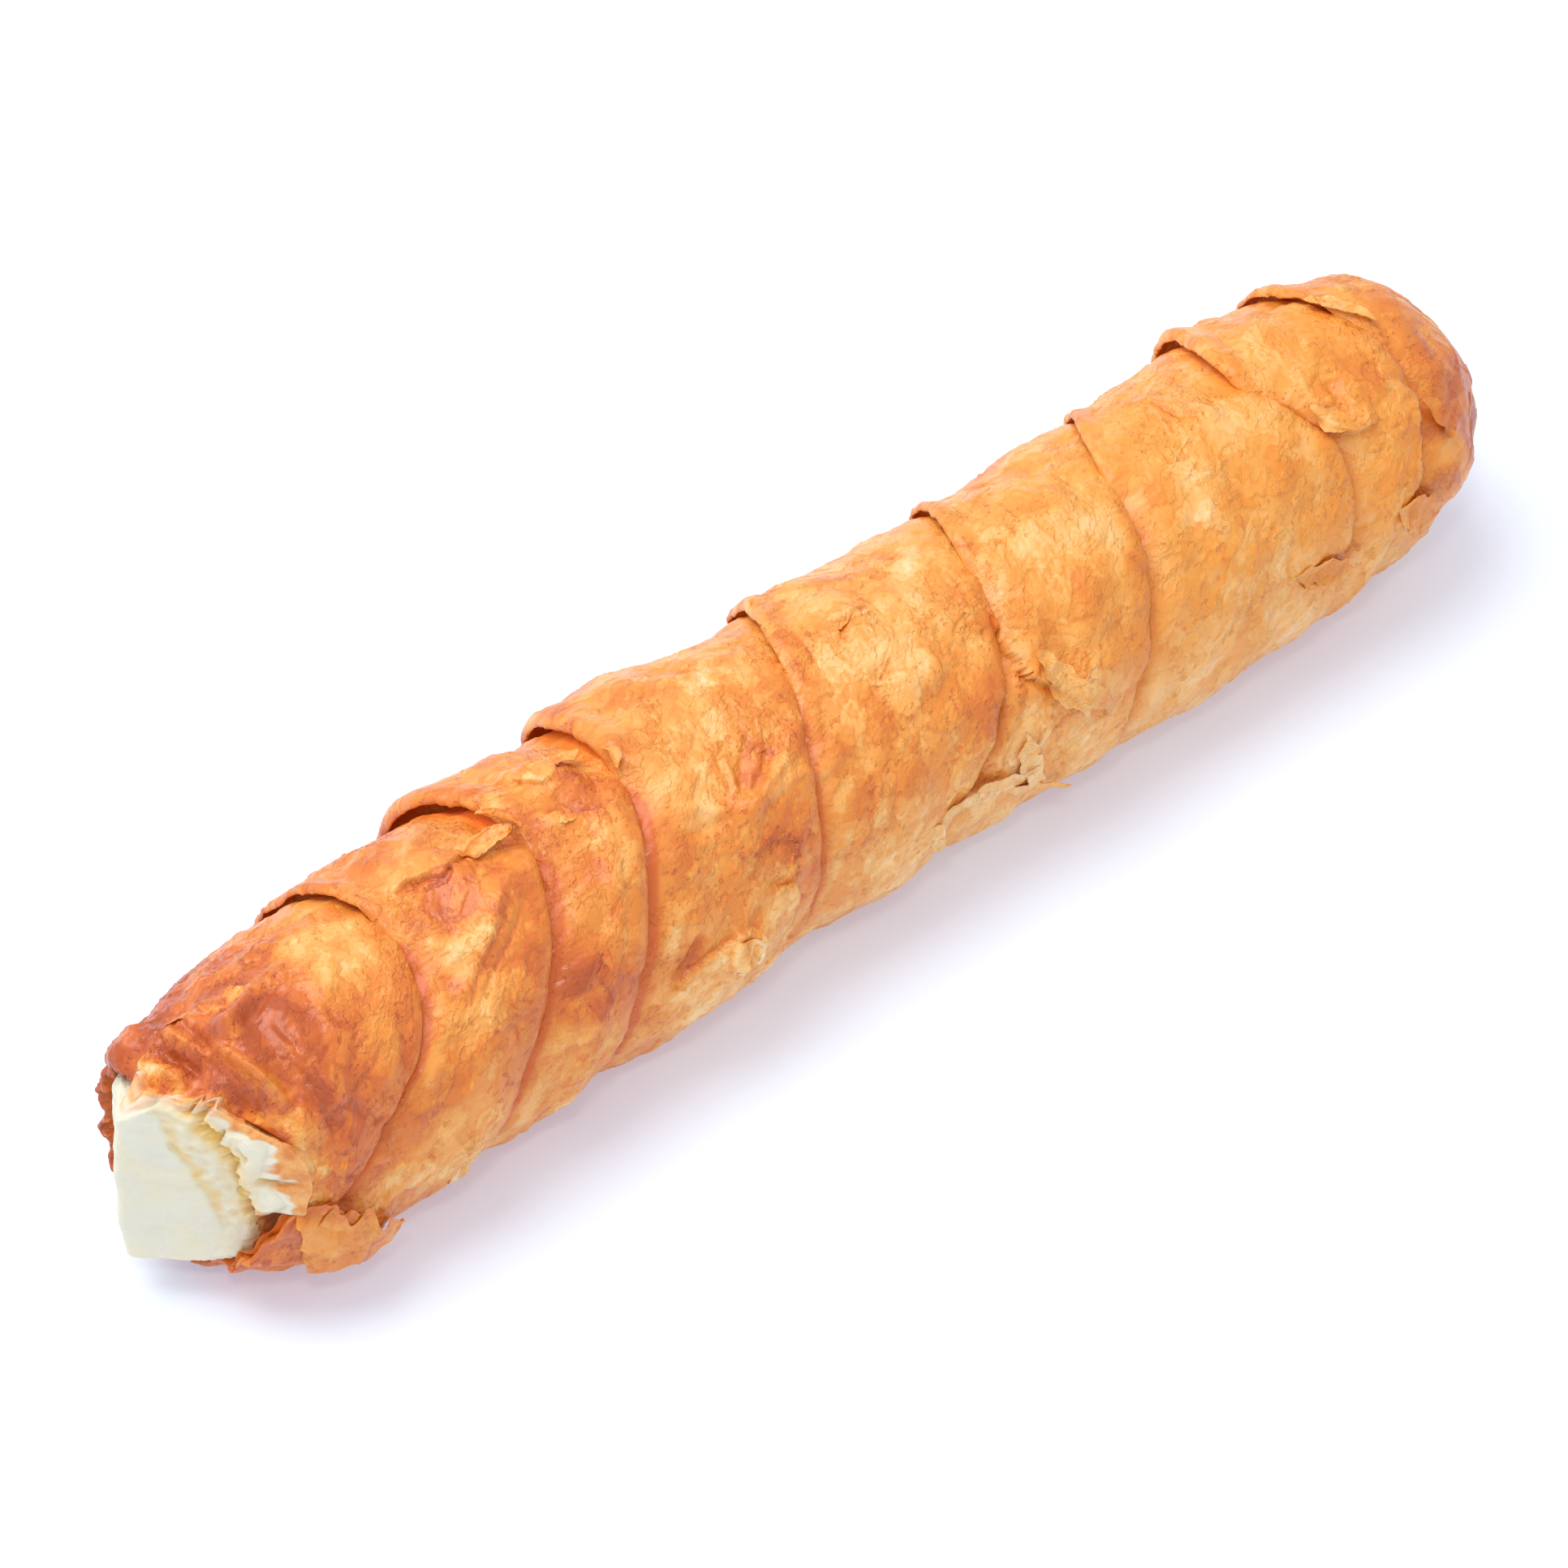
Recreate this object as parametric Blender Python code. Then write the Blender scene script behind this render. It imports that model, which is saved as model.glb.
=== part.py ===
"""Rolled borek: thin dough wound in slanting turns round a core of soft white cheese.

Metres, +Z up. The roll lies along X, with its open end at -X and its closed, domed end at +X,
and rests on a flattened strip of its underside at Z = 0. A place on the dough is given by its
station, in millimetres along the roll, and its angle round the roll in degrees: 0 on top,
90 at the front (-Y), 180 underneath and 270 at the back (+Y).
"""

import math

import bpy
import numpy as np
from mathutils import Vector, noise

MM = 0.001

# Driving sizes of the roll, in millimetres and degrees. Towards the mouth the roll tapers, more
# at the back, and the dome closes the other end.
DOME_RADIUS = 23.0
DOME_STATION = 111.5
AXIS_HEIGHT = 21.9
# The middle of the whole roll's box, as a station and a distance to the back of the axis.
BOX_CENTRE = (6.7, 0.3)
TAPER_STATION = -92.0
TAPER_LENGTH = 26.0
TAPER_DROP = 6.2
BACK_TAPER_DROP = 4.2
BACK_TAPER_ANGLE = 292.0
BACK_TAPER_SPREAD = 48.0
CORE_RADIUS = 16.5
CORE_GAP = 0.3
RIM_THICKNESS = 1.8
RIM_BULGE = 0.6
BORE_SETBACK = 1.0
BORE_START = -98.0
BORE_END = 106.0
TIP_RING_ANGLE = 80.0

# The hand-rolled rope isn't quite even: (station, radius, how far its axis strays to the back).
ROPE = (
    (-100.0, 22.6, -0.5),
    (-70.0, 22.3, -0.4),
    (-32.0, 22.7, 0.5),
    (20.0, 21.7, 0.0),
    (70.0, 22.2, -0.7),
    (111.5, 23.0, -0.2),
)

# One row for each turn's edge, counted from the open end: its station at the back shoulder,
# on top, at the front shoulder and low at the front, then how far the edge lifts off as a lip
# at the back and top, and how deep its groove is at the front.
EDGE_ANGLES = (-45.0, 0.0, 45.0, 90.0)
TURN_EDGES = (
    (-78.5, -76.2, -81.2, -101.0, 1.5, 1.4),
    (-54.0, -50.3, -57.0, -69.5, 3.3, 1.9),
    (-29.0, -31.0, -38.8, -47.4, 2.6, 1.6),
    (9.0, 2.0, -6.6, -11.7, 1.8, 1.1),
    (44.0, 37.4, 31.0, 19.0, 1.5, 1.1),
    (75.0, 65.0, 60.0, 52.0, 1.4, 1.2),
    (98.0, 93.3, 99.7, 96.0, 2.2, 1.0),
    (114.0, 114.8, 116.6, 107.0, 1.5, 1.4),
)
RUN_OUT_AT_MOUTH = 50.0
RUN_OUT_AT_TIP = 130.0

# An edge lifts between these angles at the back and comes down again past the top.
LIFT_BEGINS = (-130.0, -75.0)
LIFT_ENDS = (-12.0, 24.0)

# The dough's cross-section next to its edge, as (distance from the edge, rise): where the edge
# is a lip, in shares of its height, and where it is a groove, in shares of its depth.
LIP_PROFILE = ((0.9, -0.3), (-0.35, 0.45), (0.45, 1.0), (2.0, 0.55))
GROOVE_PROFILE = ((0.2, -1.0), (0.9, -0.62), (2.4, -0.22), (4.2, 0.0))
LIP_LEFT_IN_BODY = 0.35
RIM_SETBACK = 1.1
RIM_RISE = 0.35
RIM_SINK_UNDER_LIP = 1.6

# Lips and grooves fade out near the mouth, on the dome, where the dough is narrow and, in part,
# where the roll rests on its underside.
FADE_FROM_MOUTH = (1.0, 8.0)
FADE_ON_DOME = (122.0, 138.0)
NARROW_WIDTH = (3.0, 9.0)
FULL_WIDTH = (6.0, 14.0)
RESTING_ANGLES = (118.0, 140.0)
GROOVE_LOST_UNDERNEATH = 0.6

# The mouth's edge, as (angle, station) round the roll.
MOUTH_EDGE = (
    (5.0, -120.0),
    (37.0, -113.2),
    (70.0, -107.8),
    (100.0, -110.5),
    (135.0, -112.5),
    (180.0, -114.0),
    (240.0, -114.5),
    (295.0, -113.5),
    (340.0, -117.0),
)

# The cheese that stands out of the mouth: a slab with an upright broken face that looks
# between -X and -Y, and crumbs set back beside it.
SLAB_CREST_STATION = -122.6
SLAB_CREST_SIDE = -1.5
SLAB_FACE_SLOPE = 0.75
SLAB_BACK_SLOPE = 0.8
SLAB_EDGE_SIDE = 12.2
SLAB_EDGE_LEAN = 0.13
CRUMB_SETBACK = 2.8
CRUMB_STEP = 1.2
CHEESE_LUMP = 0.6
LEAST_STAND_OUT = 0.5

# Relief of the dough, in millimetres.
PUFF = 0.55
PUFF_WIDTH = 12.0
SWELL = 1.0
SWELL_SPACING = 15.0
WRINKLE = 0.56
WRINKLE_SPACING = 5.0
PLEAT = 0.55
PLEAT_COUNT = 13
PLEATED_STATIONS = (-112.0, -97.0)
# Raised folds, as start (station, angle), end (station, angle), height and half width.
RIDGES = (
    ((-110.0, -22.0), (-104.5, 6.0), 1.1, 2.4),
    ((-104.5, 6.0), (-107.0, 52.0), 1.7, 2.0),
    ((-104.5, 6.0), (-94.0, -4.0), 0.9, 1.8),
    ((-98.0, 16.0), (-99.0, 48.0), 0.8, 2.2),
    ((-72.0, 42.0), (-56.5, 17.0), 0.9, 1.4),
    ((-18.0, 43.0), (-3.0, 26.0), 0.8, 1.8),
    ((-18.0, 43.0), (-1.0, 44.0), 0.6, 1.8),
    ((80.0, -12.0), (85.0, 8.0), 0.7, 1.6),
)
# Swellings, hollows, loose flakes and flaps, as (station, angle), height, length and width.
BUMPS = (
    ((133.0, 8.0), 1.9, 14.0, 22.0),
    ((118.0, 122.0), -1.3, 14.0, 13.0),
    ((62.0, 112.0), 0.7, 22.0, 12.0),
    ((54.0, -48.0), -0.7, 8.0, 12.0),
    ((13.0, -48.0), 1.0, 9.0, 12.0),
    ((-18.0, -48.0), 1.0, 9.0, 12.0),
    ((-42.0, 112.0), 0.7, 10.0, 12.0),
    ((-98.0, -42.0), -2.2, 11.0, 15.0),
    ((-112.5, -42.0), 1.6, 3.5, 6.0),
    ((-101.0, 113.0), 2.4, 8.0, 5.0),
    ((-26.0, 90.0), 1.5, 6.0, 4.0),
    ((-40.0, -8.0), 1.0, 5.0, 4.0),
    ((17.0, 33.0), 0.9, 4.0, 3.0),
    ((44.0, 72.0), 1.3, 6.0, 4.5),
    ((122.0, 84.0), 1.3, 5.0, 5.0),
)

# Mesh density: steps in each turn, and columns across the dough between two edges.
STEPS = 48
STEP_ANGLE = 360.0 / STEPS
BODY_COLUMNS = 6
FACE_RINGS = 9
FACE_RING_SPREAD = 0.8

CRUST_COLOUR = (0.78, 0.36, 0.11, 1.0)
CRUST_ROUGHNESS = 0.45
CHEESE_COLOUR = (0.83, 0.80, 0.66, 1.0)
CHEESE_ROUGHNESS = 0.6


def smooth_line(places, heights, at, period=None):
    """A smooth curve through points: cubic pieces with the slope of each point's neighbours."""
    places, heights = np.asarray(places, float), np.asarray(heights, float)
    if period:
        places = np.concatenate([places[-2:] - period, places, places[:2] + period])
        heights = np.concatenate([heights[-2:], heights, heights[:2]])
        at = (at - places[1]) % period + places[1]
    slopes = np.gradient(heights, places)
    at = np.clip(at, places[0], places[-1])
    k = np.clip(np.searchsorted(places, at, side="right") - 1, 0, len(places) - 2)
    span = places[k + 1] - places[k]
    t = (at - places[k]) / span
    rise = (3 - 2 * t) * t * t
    ease_in, ease_out = t * (1 - t) ** 2 * span, t * t * (t - 1) * span
    return (
        heights[k] * (1 - rise)
        + heights[k + 1] * rise
        + slopes[k] * ease_in
        + slopes[k + 1] * ease_out
    )


def smooth_step(x, low, high):
    t = np.clip((x - low) / (high - low), 0, 1)
    return t * t * (3 - 2 * t)


def turned(angle):
    """The same angle between -180 and 180 degrees."""
    return (angle + 180.0) % 360.0 - 180.0


# The edge winds round the roll as one helix. Its course is the angle counted on through all
# turns: it grows by 360 degrees from each turn to the next one towards the mouth.
TURNS = len(TURN_EDGES)


def edge_course():
    """Course and station of the helix's known points, from the closed end to the mouth."""
    points = [
        (angle - 360.0 * turn, row[i])
        for turn, row in enumerate(TURN_EDGES, start=1)
        for i, angle in enumerate(EDGE_ANGLES)
    ]
    return sorted(points)


COURSE, STATION = np.array(edge_course()).T
COURSE_AT_MOUTH = COURSE[-1] + RUN_OUT_AT_MOUTH
COURSE_AT_TIP = COURSE[0] - RUN_OUT_AT_TIP


def mouth_station(angle):
    angles, stations = np.array(MOUTH_EDGE).T
    return smooth_line(angles, stations, angle, period=360.0)


def tip_station():
    return DOME_STATION + math.radians(TIP_RING_ANGLE) * DOME_RADIUS


def edge_station(course):
    """Station of the edge along its course, running out into the mouth and into the tip."""
    mouth = mouth_station(course)
    places = np.concatenate([[COURSE_AT_TIP], COURSE, [COURSE_AT_MOUTH]])
    mouth_end = float(mouth_station(np.array([COURSE_AT_MOUTH]))[0])
    stations = np.concatenate([[tip_station()], STATION, [mouth_end]])
    inside = smooth_line(places, stations, course)
    return np.where(course >= COURSE_AT_MOUTH, mouth, np.maximum(inside, mouth))


def turn_value(course, column):
    """A turn's own value from the table, blended where one turn passes into the next."""
    values = np.array([row[column] for row in TURN_EDGES])
    turn = (EDGE_ANGLES[1] - course) / 360.0 - 1.0
    return np.interp(turn, np.arange(TURNS), values)


def lift(angle):
    """How far an edge is a lifted lip (1) rather than a pressed-in groove (0)."""
    angle = turned(angle)
    return smooth_step(angle, *LIFT_BEGINS) * (1 - smooth_step(angle, *LIFT_ENDS))


def meridian(station, angle):
    """Station along X, radius, and the outward direction, of the roll's plain outline."""
    places, radii, _ = np.array(ROPE).T
    radius = smooth_line(places, radii, station)
    into_taper = np.clip((TAPER_STATION - station) / TAPER_LENGTH, 0, None)
    at_back = np.exp(-((turned(angle - BACK_TAPER_ANGLE) / BACK_TAPER_SPREAD) ** 2))
    drop = TAPER_DROP + BACK_TAPER_DROP * at_back
    radius = radius - drop * into_taper**2
    over_dome = np.clip((station - DOME_STATION) / DOME_RADIUS, 0, math.pi / 2)
    along = np.where(over_dome > 0, DOME_STATION + DOME_RADIUS * np.sin(over_dome), station)
    radius = np.where(over_dome > 0, DOME_RADIUS * np.cos(over_dome), radius)
    tilt = over_dome - np.arctan(2 * drop * into_taper / TAPER_LENGTH)
    return along, radius, np.sin(tilt), np.cos(tilt)


def near_line(station, angle, per_degree, start, end):
    """Distance from a straight stroke on the unrolled dough, in millimetres."""
    x, y = station - start[0], turned(angle - start[1]) * per_degree
    dx, dy = end[0] - start[0], (end[1] - start[1]) * per_degree
    t = np.clip((x * dx + y * dy) / (dx * dx + dy * dy), 0, 1)
    return np.hypot(x - t * dx, y - t * dy)


def relief(station, angle):
    """Height of wrinkles, pleats, folds and flakes over the plain outline."""
    x, radius, _, _ = meridian(station, angle)
    per_degree = math.radians(1) * radius
    height = np.zeros(station.shape)
    for start, end, ridge_height, half_width in RIDGES:
        away = near_line(station, angle, per_degree, start, end)
        height += ridge_height * np.exp(-((away / half_width) ** 2))
    for (bump_station, bump_angle), bump_height, length, width in BUMPS:
        along = (station - bump_station) / length
        across = turned(angle - bump_angle) * per_degree / width
        height += bump_height * np.exp(-((along**2 + across**2) ** 2))
    pleated = 1 - smooth_step(station, *PLEATED_STATIONS)
    turn = np.radians(angle)
    height += PLEAT * pleated * np.sin(PLEAT_COUNT * turn + 2.4 * np.sin(3 * turn))
    places = np.stack([x, radius * np.sin(turn), radius * np.cos(turn)], axis=-1)
    uneven = [
        SWELL * noise.noise(Vector(place) / SWELL_SPACING)
        + WRINKLE * noise.noise(Vector(place) / WRINKLE_SPACING)
        for place in places.reshape(-1, 3).tolist()
    ]
    return height + np.array(uneven).reshape(height.shape)


def ring(along, radius, angle):
    """Points in metres round the roll's axis, flat where the roll rests."""
    turn = np.radians(angle)
    along = along + 0 * turn
    places, _, strays = np.array(ROPE).T
    y = smooth_line(places, strays, along) - radius * np.sin(turn)
    z = np.maximum(AXIS_HEIGHT + radius * np.cos(turn), 0.0)
    return np.stack([along - BOX_CENTRE[0], y - BOX_CENTRE[1], z], axis=-1) * MM


def on_roll(station, angle, rise):
    """Points in metres at a height over the plain outline, at a station and an angle."""
    along, radius, out_x, out_r = meridian(station, angle)
    return ring(along + rise * out_x, radius + rise * out_r, angle)


def wound_dough():
    """Grid of points, one row for each step of the course and one column across the dough."""
    first = COURSE_AT_TIP - 360.0
    steps = math.ceil((COURSE_AT_MOUTH - first) / STEP_ANGLE)
    course = first + STEP_ANGLE * np.arange(steps + 1)
    course[-1] = COURSE_AT_MOUTH
    near, far = edge_station(course + 360.0), edge_station(course)
    width = far - near
    near_lift, near_rise = lift(course), turn_value(course + 360.0, 4)
    near_groove, far_groove = turn_value(course + 360.0, 5), turn_value(course, 5)
    wide = smooth_step(width, *NARROW_WIDTH)
    free = wide * smooth_step(near - mouth_station(course), *FADE_FROM_MOUTH)
    free = free * (1 - smooth_step(near, *FADE_ON_DOME))
    underneath = smooth_step(np.abs(turned(course)), *RESTING_ANGLES)
    lip = near_lift * free * near_rise
    groove = (1 - near_lift) * free * near_groove * (1 - GROOVE_LOST_UNDERNEATH * underneath)

    rows = [
        (lip_x * lip + groove_x * groove, lip_rise * lip + groove_rise * groove)
        for (lip_x, lip_rise), (groove_x, groove_rise) in zip(LIP_PROFILE, GROOVE_PROFILE)
    ]
    start, end = rows[-1][0], width - RIM_SETBACK
    for share in np.linspace(0, 1, BODY_COLUMNS + 2)[1:-1]:
        puff = PUFF * math.sin(math.pi * share) * np.clip(width / PUFF_WIDTH, 0, 1)
        rise = puff + LIP_LEFT_IN_BODY * lip * (1 - share) ** 3
        rows.append((start + (end - start) * share, rise))
    rows.append((end, RIM_RISE * far_groove * wide * (1 - RIM_SINK_UNDER_LIP * near_lift)))

    offsets = np.stack([row[0] for row in rows], axis=-1)
    rises = np.stack([row[1] for row in rows], axis=-1)
    share_of_width = np.linspace(0, 1, len(rows) + 1)[:-1] * width[:, None]
    full = smooth_step(width, *FULL_WIDTH)[:, None]
    offsets = offsets * full + share_of_width * (1 - full)
    stations = near[:, None] + offsets
    angles = np.broadcast_to(course[:, None], stations.shape)
    heights = rises * full + relief(stations, angles)
    return on_roll(stations, angles, heights), course


def closed_mesh(name, points, faces, colour, roughness):
    """A named object with its own material, from points and the corners of its triangles."""
    mesh = bpy.data.meshes.new(name)
    mesh.from_pydata([tuple(p) for p in points], [], faces)
    mesh.validate()
    mesh.shade_smooth()
    material = bpy.data.materials.new(name)
    material.use_nodes = True
    shader = material.node_tree.nodes["Principled BSDF"]
    shader.inputs["Base Color"].default_value = colour
    shader.inputs["Roughness"].default_value = roughness
    mesh.materials.append(material)
    obj = bpy.data.objects.new(name, mesh)
    bpy.context.scene.collection.objects.link(obj)
    return obj


def bridge(lower, upper):
    """Triangles between two closed rings of point numbers of the same length."""
    count = len(lower)
    faces = []
    for i in range(count):
        j = (i + 1) % count
        faces += [(lower[i], lower[j], upper[j]), (lower[i], upper[j], upper[i])]
    return faces


def fan(rim, centre):
    return [(rim[i], rim[(i + 1) % len(rim)], centre) for i in range(len(rim))]


def distinct(faces):
    return [face for face in faces if len(set(face)) == 3]


def bore_mouth(angles, inset):
    """Station and radius of the bore's first ring, just inside the mouth's edge."""
    mouth = mouth_station(angles)
    _, mouth_radius, _, _ = meridian(mouth, angles)
    return mouth + BORE_SETBACK, mouth_radius - RIM_THICKNESS - inset


def bore_rings(angles, inset):
    """Rings of the bore from the mouth to its rounded blind end, and the end point."""
    mouth, mouth_radius = bore_mouth(angles, inset)
    radius = CORE_RADIUS + CORE_GAP - inset
    rings = [ring(mouth, mouth_radius, angles), ring(BORE_START, radius, angles)]
    for arc in np.radians((0.0, 30.0, 60.0)):
        rings.append(ring(BORE_END + radius * math.sin(arc), radius * math.cos(arc), angles))
    return rings, ring(BORE_END + radius, np.zeros(1), np.zeros(1))


def make_pastry():
    """The wound dough with its lips, grooves and dome, hollow for the core and open at the mouth."""
    grid, course = wound_dough()
    steps, columns = grid.shape[:2]
    number = np.arange(steps * columns).reshape(steps, columns)
    points = list(grid.reshape(-1, 3))

    def add(new_points):
        first = len(points)
        points.extend(new_points)
        return list(range(first, first + len(new_points)))

    # Where the dough starts, at the tip, and where it ends, at the mouth, it has no width.
    number[0, 1:] = number[0, 0]
    number[-1, 1:] = number[-1, 0]
    last = steps - 1

    mouth_ring = [int(number[i, 0]) for i in range(last - STEPS, last)]
    mouth_course = course[last - STEPS : last]

    tip_angles = course[: STEPS + 1]
    tip_stations = np.full(STEPS + 1, tip_station())
    tip_points = on_roll(tip_stations, tip_angles, relief(tip_stations, tip_angles))
    tip_ring = [int(number[0, 0])] + add(tip_points[1:STEPS])
    points[tip_ring[0]] = tip_points[0]

    def far_corner(step):
        """Point number on the far edge at a step: the near edge one turn on, or the tip."""
        if step < STEPS:
            return tip_ring[step]
        return int(number[step - STEPS, 0])

    faces = []
    for step in range(last):
        here = [int(n) for n in number[step]] + [far_corner(step)]
        there = [int(n) for n in number[step + 1]] + [far_corner(step + 1)]
        for i in range(columns):
            faces.append((here[i], there[i], there[i + 1]))
            faces.append((here[i], there[i + 1], here[i + 1]))

    pole, top = np.array([DOME_STATION + math.pi / 2 * DOME_RADIUS]), np.zeros(1)
    tip = add(on_roll(pole, top, relief(pole, top)))
    faces += fan(tip_ring, tip[0])

    mouth = mouth_station(mouth_course)
    _, mouth_radius, _, _ = meridian(mouth, mouth_course)
    outer = add(ring(mouth - RIM_BULGE, mouth_radius - RIM_THICKNESS / 2, mouth_course))
    faces += bridge(outer, mouth_ring)
    rings, blind_end = bore_rings(mouth_course, 0.0)
    for inner_points in rings:
        inner = add(inner_points)
        faces += bridge(inner, outer)
        outer = inner
    faces += [face[::-1] for face in fan(outer, add(blind_end)[0])]
    return closed_mesh("pastry", points, distinct(faces), CRUST_COLOUR, CRUST_ROUGHNESS)


def cheese_face_station(side, up):
    """Station of the broken cheese surface, at a distance to the front and up from the axis."""
    face = SLAB_CREST_STATION + SLAB_FACE_SLOPE * (side - SLAB_CREST_SIDE)
    back = SLAB_CREST_STATION + SLAB_BACK_SLOPE * (SLAB_CREST_SIDE - side)
    past_edge = side - (SLAB_EDGE_SIDE - SLAB_EDGE_LEAN * up)
    crumbs = CRUMB_SETBACK * smooth_step(past_edge, 0.0, CRUMB_STEP)
    lumps = [
        noise.noise(Vector((s, u, 0.0)) / WRINKLE_SPACING)
        for s, u in zip(side.ravel().tolist(), up.ravel().tolist())
    ]
    return np.maximum(face, back) + crumbs + CHEESE_LUMP * np.array(lumps).reshape(side.shape)


def make_cheese():
    """The core that runs through the roll, with its broken face at the mouth."""
    angles = STEP_ANGLE * np.arange(STEPS)
    rim_station, rim_radius = bore_mouth(angles, CORE_GAP)
    rings, blind_end = bore_rings(angles, CORE_GAP)
    points = []

    def add(new_points):
        first = len(points)
        points.extend(new_points)
        return list(range(first, first + len(new_points)))

    faces = []
    numbered = [add(r) for r in rings]
    for near, far in zip(numbered, numbered[1:]):
        faces += bridge(near, far)
    faces += fan(numbered[-1], add(blind_end)[0])

    outer = numbered[0]
    turn = np.radians(angles)
    for k in range(FACE_RINGS):
        radius = rim_radius * (1 - k / FACE_RINGS) ** FACE_RING_SPREAD
        side, up = radius * np.sin(turn), radius * np.cos(turn)
        station = np.minimum(cheese_face_station(side, up), rim_station - LEAST_STAND_OUT)
        inner = add(ring(station, radius, angles))
        faces += bridge(inner, outer)
        outer = inner
    centre = cheese_face_station(np.zeros(1), np.zeros(1))
    middle = add(ring(centre, np.zeros(1), np.zeros(1)))
    faces += [face[::-1] for face in fan(outer, middle[0])]
    return closed_mesh("cheese_filling", points, faces, CHEESE_COLOUR, CHEESE_ROUGHNESS)


for leftover in list(bpy.data.objects):
    bpy.data.objects.remove(leftover)
make_pastry()
make_cheese()
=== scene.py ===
import math

import bpy
import numpy as np
from mathutils import Matrix, Vector, noise


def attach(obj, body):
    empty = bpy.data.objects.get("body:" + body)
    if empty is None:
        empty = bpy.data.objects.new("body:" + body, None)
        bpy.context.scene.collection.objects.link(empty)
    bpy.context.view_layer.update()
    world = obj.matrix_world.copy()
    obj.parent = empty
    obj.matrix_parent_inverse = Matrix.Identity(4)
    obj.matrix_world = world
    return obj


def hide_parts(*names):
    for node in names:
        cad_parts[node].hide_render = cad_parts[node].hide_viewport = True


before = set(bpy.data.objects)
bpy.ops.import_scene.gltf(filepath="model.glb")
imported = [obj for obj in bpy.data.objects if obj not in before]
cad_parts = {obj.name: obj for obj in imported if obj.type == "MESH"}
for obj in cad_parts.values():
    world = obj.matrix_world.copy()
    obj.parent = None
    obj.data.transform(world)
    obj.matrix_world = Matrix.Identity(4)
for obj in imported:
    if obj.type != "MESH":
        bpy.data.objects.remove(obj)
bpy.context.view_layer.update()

# Looks of a rolled borek: nine turns of baked dough over a core of soft white cheese.
# A place on the dough is given by its station, in millimetres along the roll, and its angle in
# degrees: 0 on top, 90 at the front (-Y), 180 underneath and 270 at the back (+Y).

MM = 0.001

# Sizes of the roll, in millimetres.
DOME_RADIUS = 23.0
DOME_STATION = 111.5
POLE_STATION = DOME_STATION + math.pi / 2 * DOME_RADIUS
AXIS_HEIGHT = 21.9
BOX_CENTRE = (6.7, 0.3)
WALL = 3.2

# The near end narrows towards the mouth, most of all at the back.
TAPER_STATION = -92.0
TAPER_LENGTH = 26.0
TAPER_DROP = 6.2
BACK_TAPER_DROP = 4.2
BACK_TAPER_ANGLE = 292.0
BACK_TAPER_SPREAD = 48.0

# The cheese inside, and the dough's rim round it.
CORE_RADIUS = 16.5
CORE_START = -98.0
CORE_END = 106.0
CORE_GAP = 0.3
RIM_THICKNESS = 1.8

# Uneven rope: (station, radius, how far its axis strays to the back).
ROPE = (
    (-100.0, 22.6, -0.5),
    (-70.0, 22.3, -0.4),
    (-32.0, 22.7, 0.5),
    (20.0, 21.7, 0.0),
    (70.0, 22.2, -0.7),
    (111.5, 23.0, -0.2),
)

# Each turn's edge from the open end: stations at four angles, lip height, groove depth.
EDGE_ANGLES = (-45.0, 0.0, 45.0, 90.0)
TURN_EDGES = (
    (-78.5, -76.2, -81.2, -101.0, 1.5, 1.4),
    (-54.0, -50.3, -57.0, -69.5, 3.3, 1.9),
    (-29.0, -31.0, -38.8, -47.4, 2.6, 1.6),
    (9.0, 2.0, -6.6, -11.7, 1.8, 1.1),
    (44.0, 37.4, 31.0, 19.0, 1.5, 1.1),
    (75.0, 65.0, 60.0, 52.0, 1.4, 1.2),
    (98.0, 93.3, 99.7, 96.0, 2.2, 1.0),
    (114.0, 114.8, 116.6, 107.0, 1.5, 1.4),
)
LIP_HEIGHT, GROOVE_DEPTH = 4, 5

# How far the edge runs on past its known places, and where its last turn ends on the dome.
RUN_OUT_AT_MOUTH = 50.0
RUN_OUT_AT_TIP = 130.0
TIP_RING_ANGLE = 80.0

# Angles between which an edge lifts into a lip, and those between which it sinks again.
LIFT_BEGINS = (-130.0, -75.0)
LIFT_ENDS = (-12.0, 24.0)

# Lips and grooves fade out near the mouth, on the dome and where a turn is narrow.
FADE_FROM_MOUTH = (1.0, 8.0)
FADE_ON_DOME = (122.0, 138.0)
NARROW_WIDTH = (3.0, 9.0)

# Grooves are shallow where the roll rests.
RESTING_ANGLES = (118.0, 140.0)
GROOVE_LOST_UNDERNEATH = 0.6

# The rim of the mouth: (angle, station).
MOUTH_EDGE = (
    (5.0, -120.0),
    (37.0, -113.2),
    (70.0, -107.8),
    (100.0, -110.5),
    (135.0, -112.5),
    (180.0, -114.0),
    (240.0, -114.5),
    (295.0, -113.5),
    (340.0, -117.0),
)

# Cheese smeared over the rim: the middle and half of its spread, in degrees, and how far the
# rim stands back under it. Beside the slab's foot the rim reaches out instead.
SMEAR_ANGLE = 38.0
SMEAR_SPREAD = 58.0
RIM_SETBACK = 2.8
FOOT_ANGLE = 124.0
FOOT_SPREAD = 20.0
FOOT_REACH = 2.2

# The frayed rim ends between these distances from the mouth's edge.
FRAYED = (0.3, 2.0)

# Broad relief, in millimetres, as in the solids.
PUFF = 0.55
PUFF_WIDTH = 12.0
SWELL = 1.0
SWELL_SPACING = 15.0
WRINKLE = 0.56
WRINKLE_SPACING = 5.0
PLEAT = 0.55
PLEAT_COUNT = 13
PLEATED_STATIONS = (-112.0, -97.0)

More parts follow.
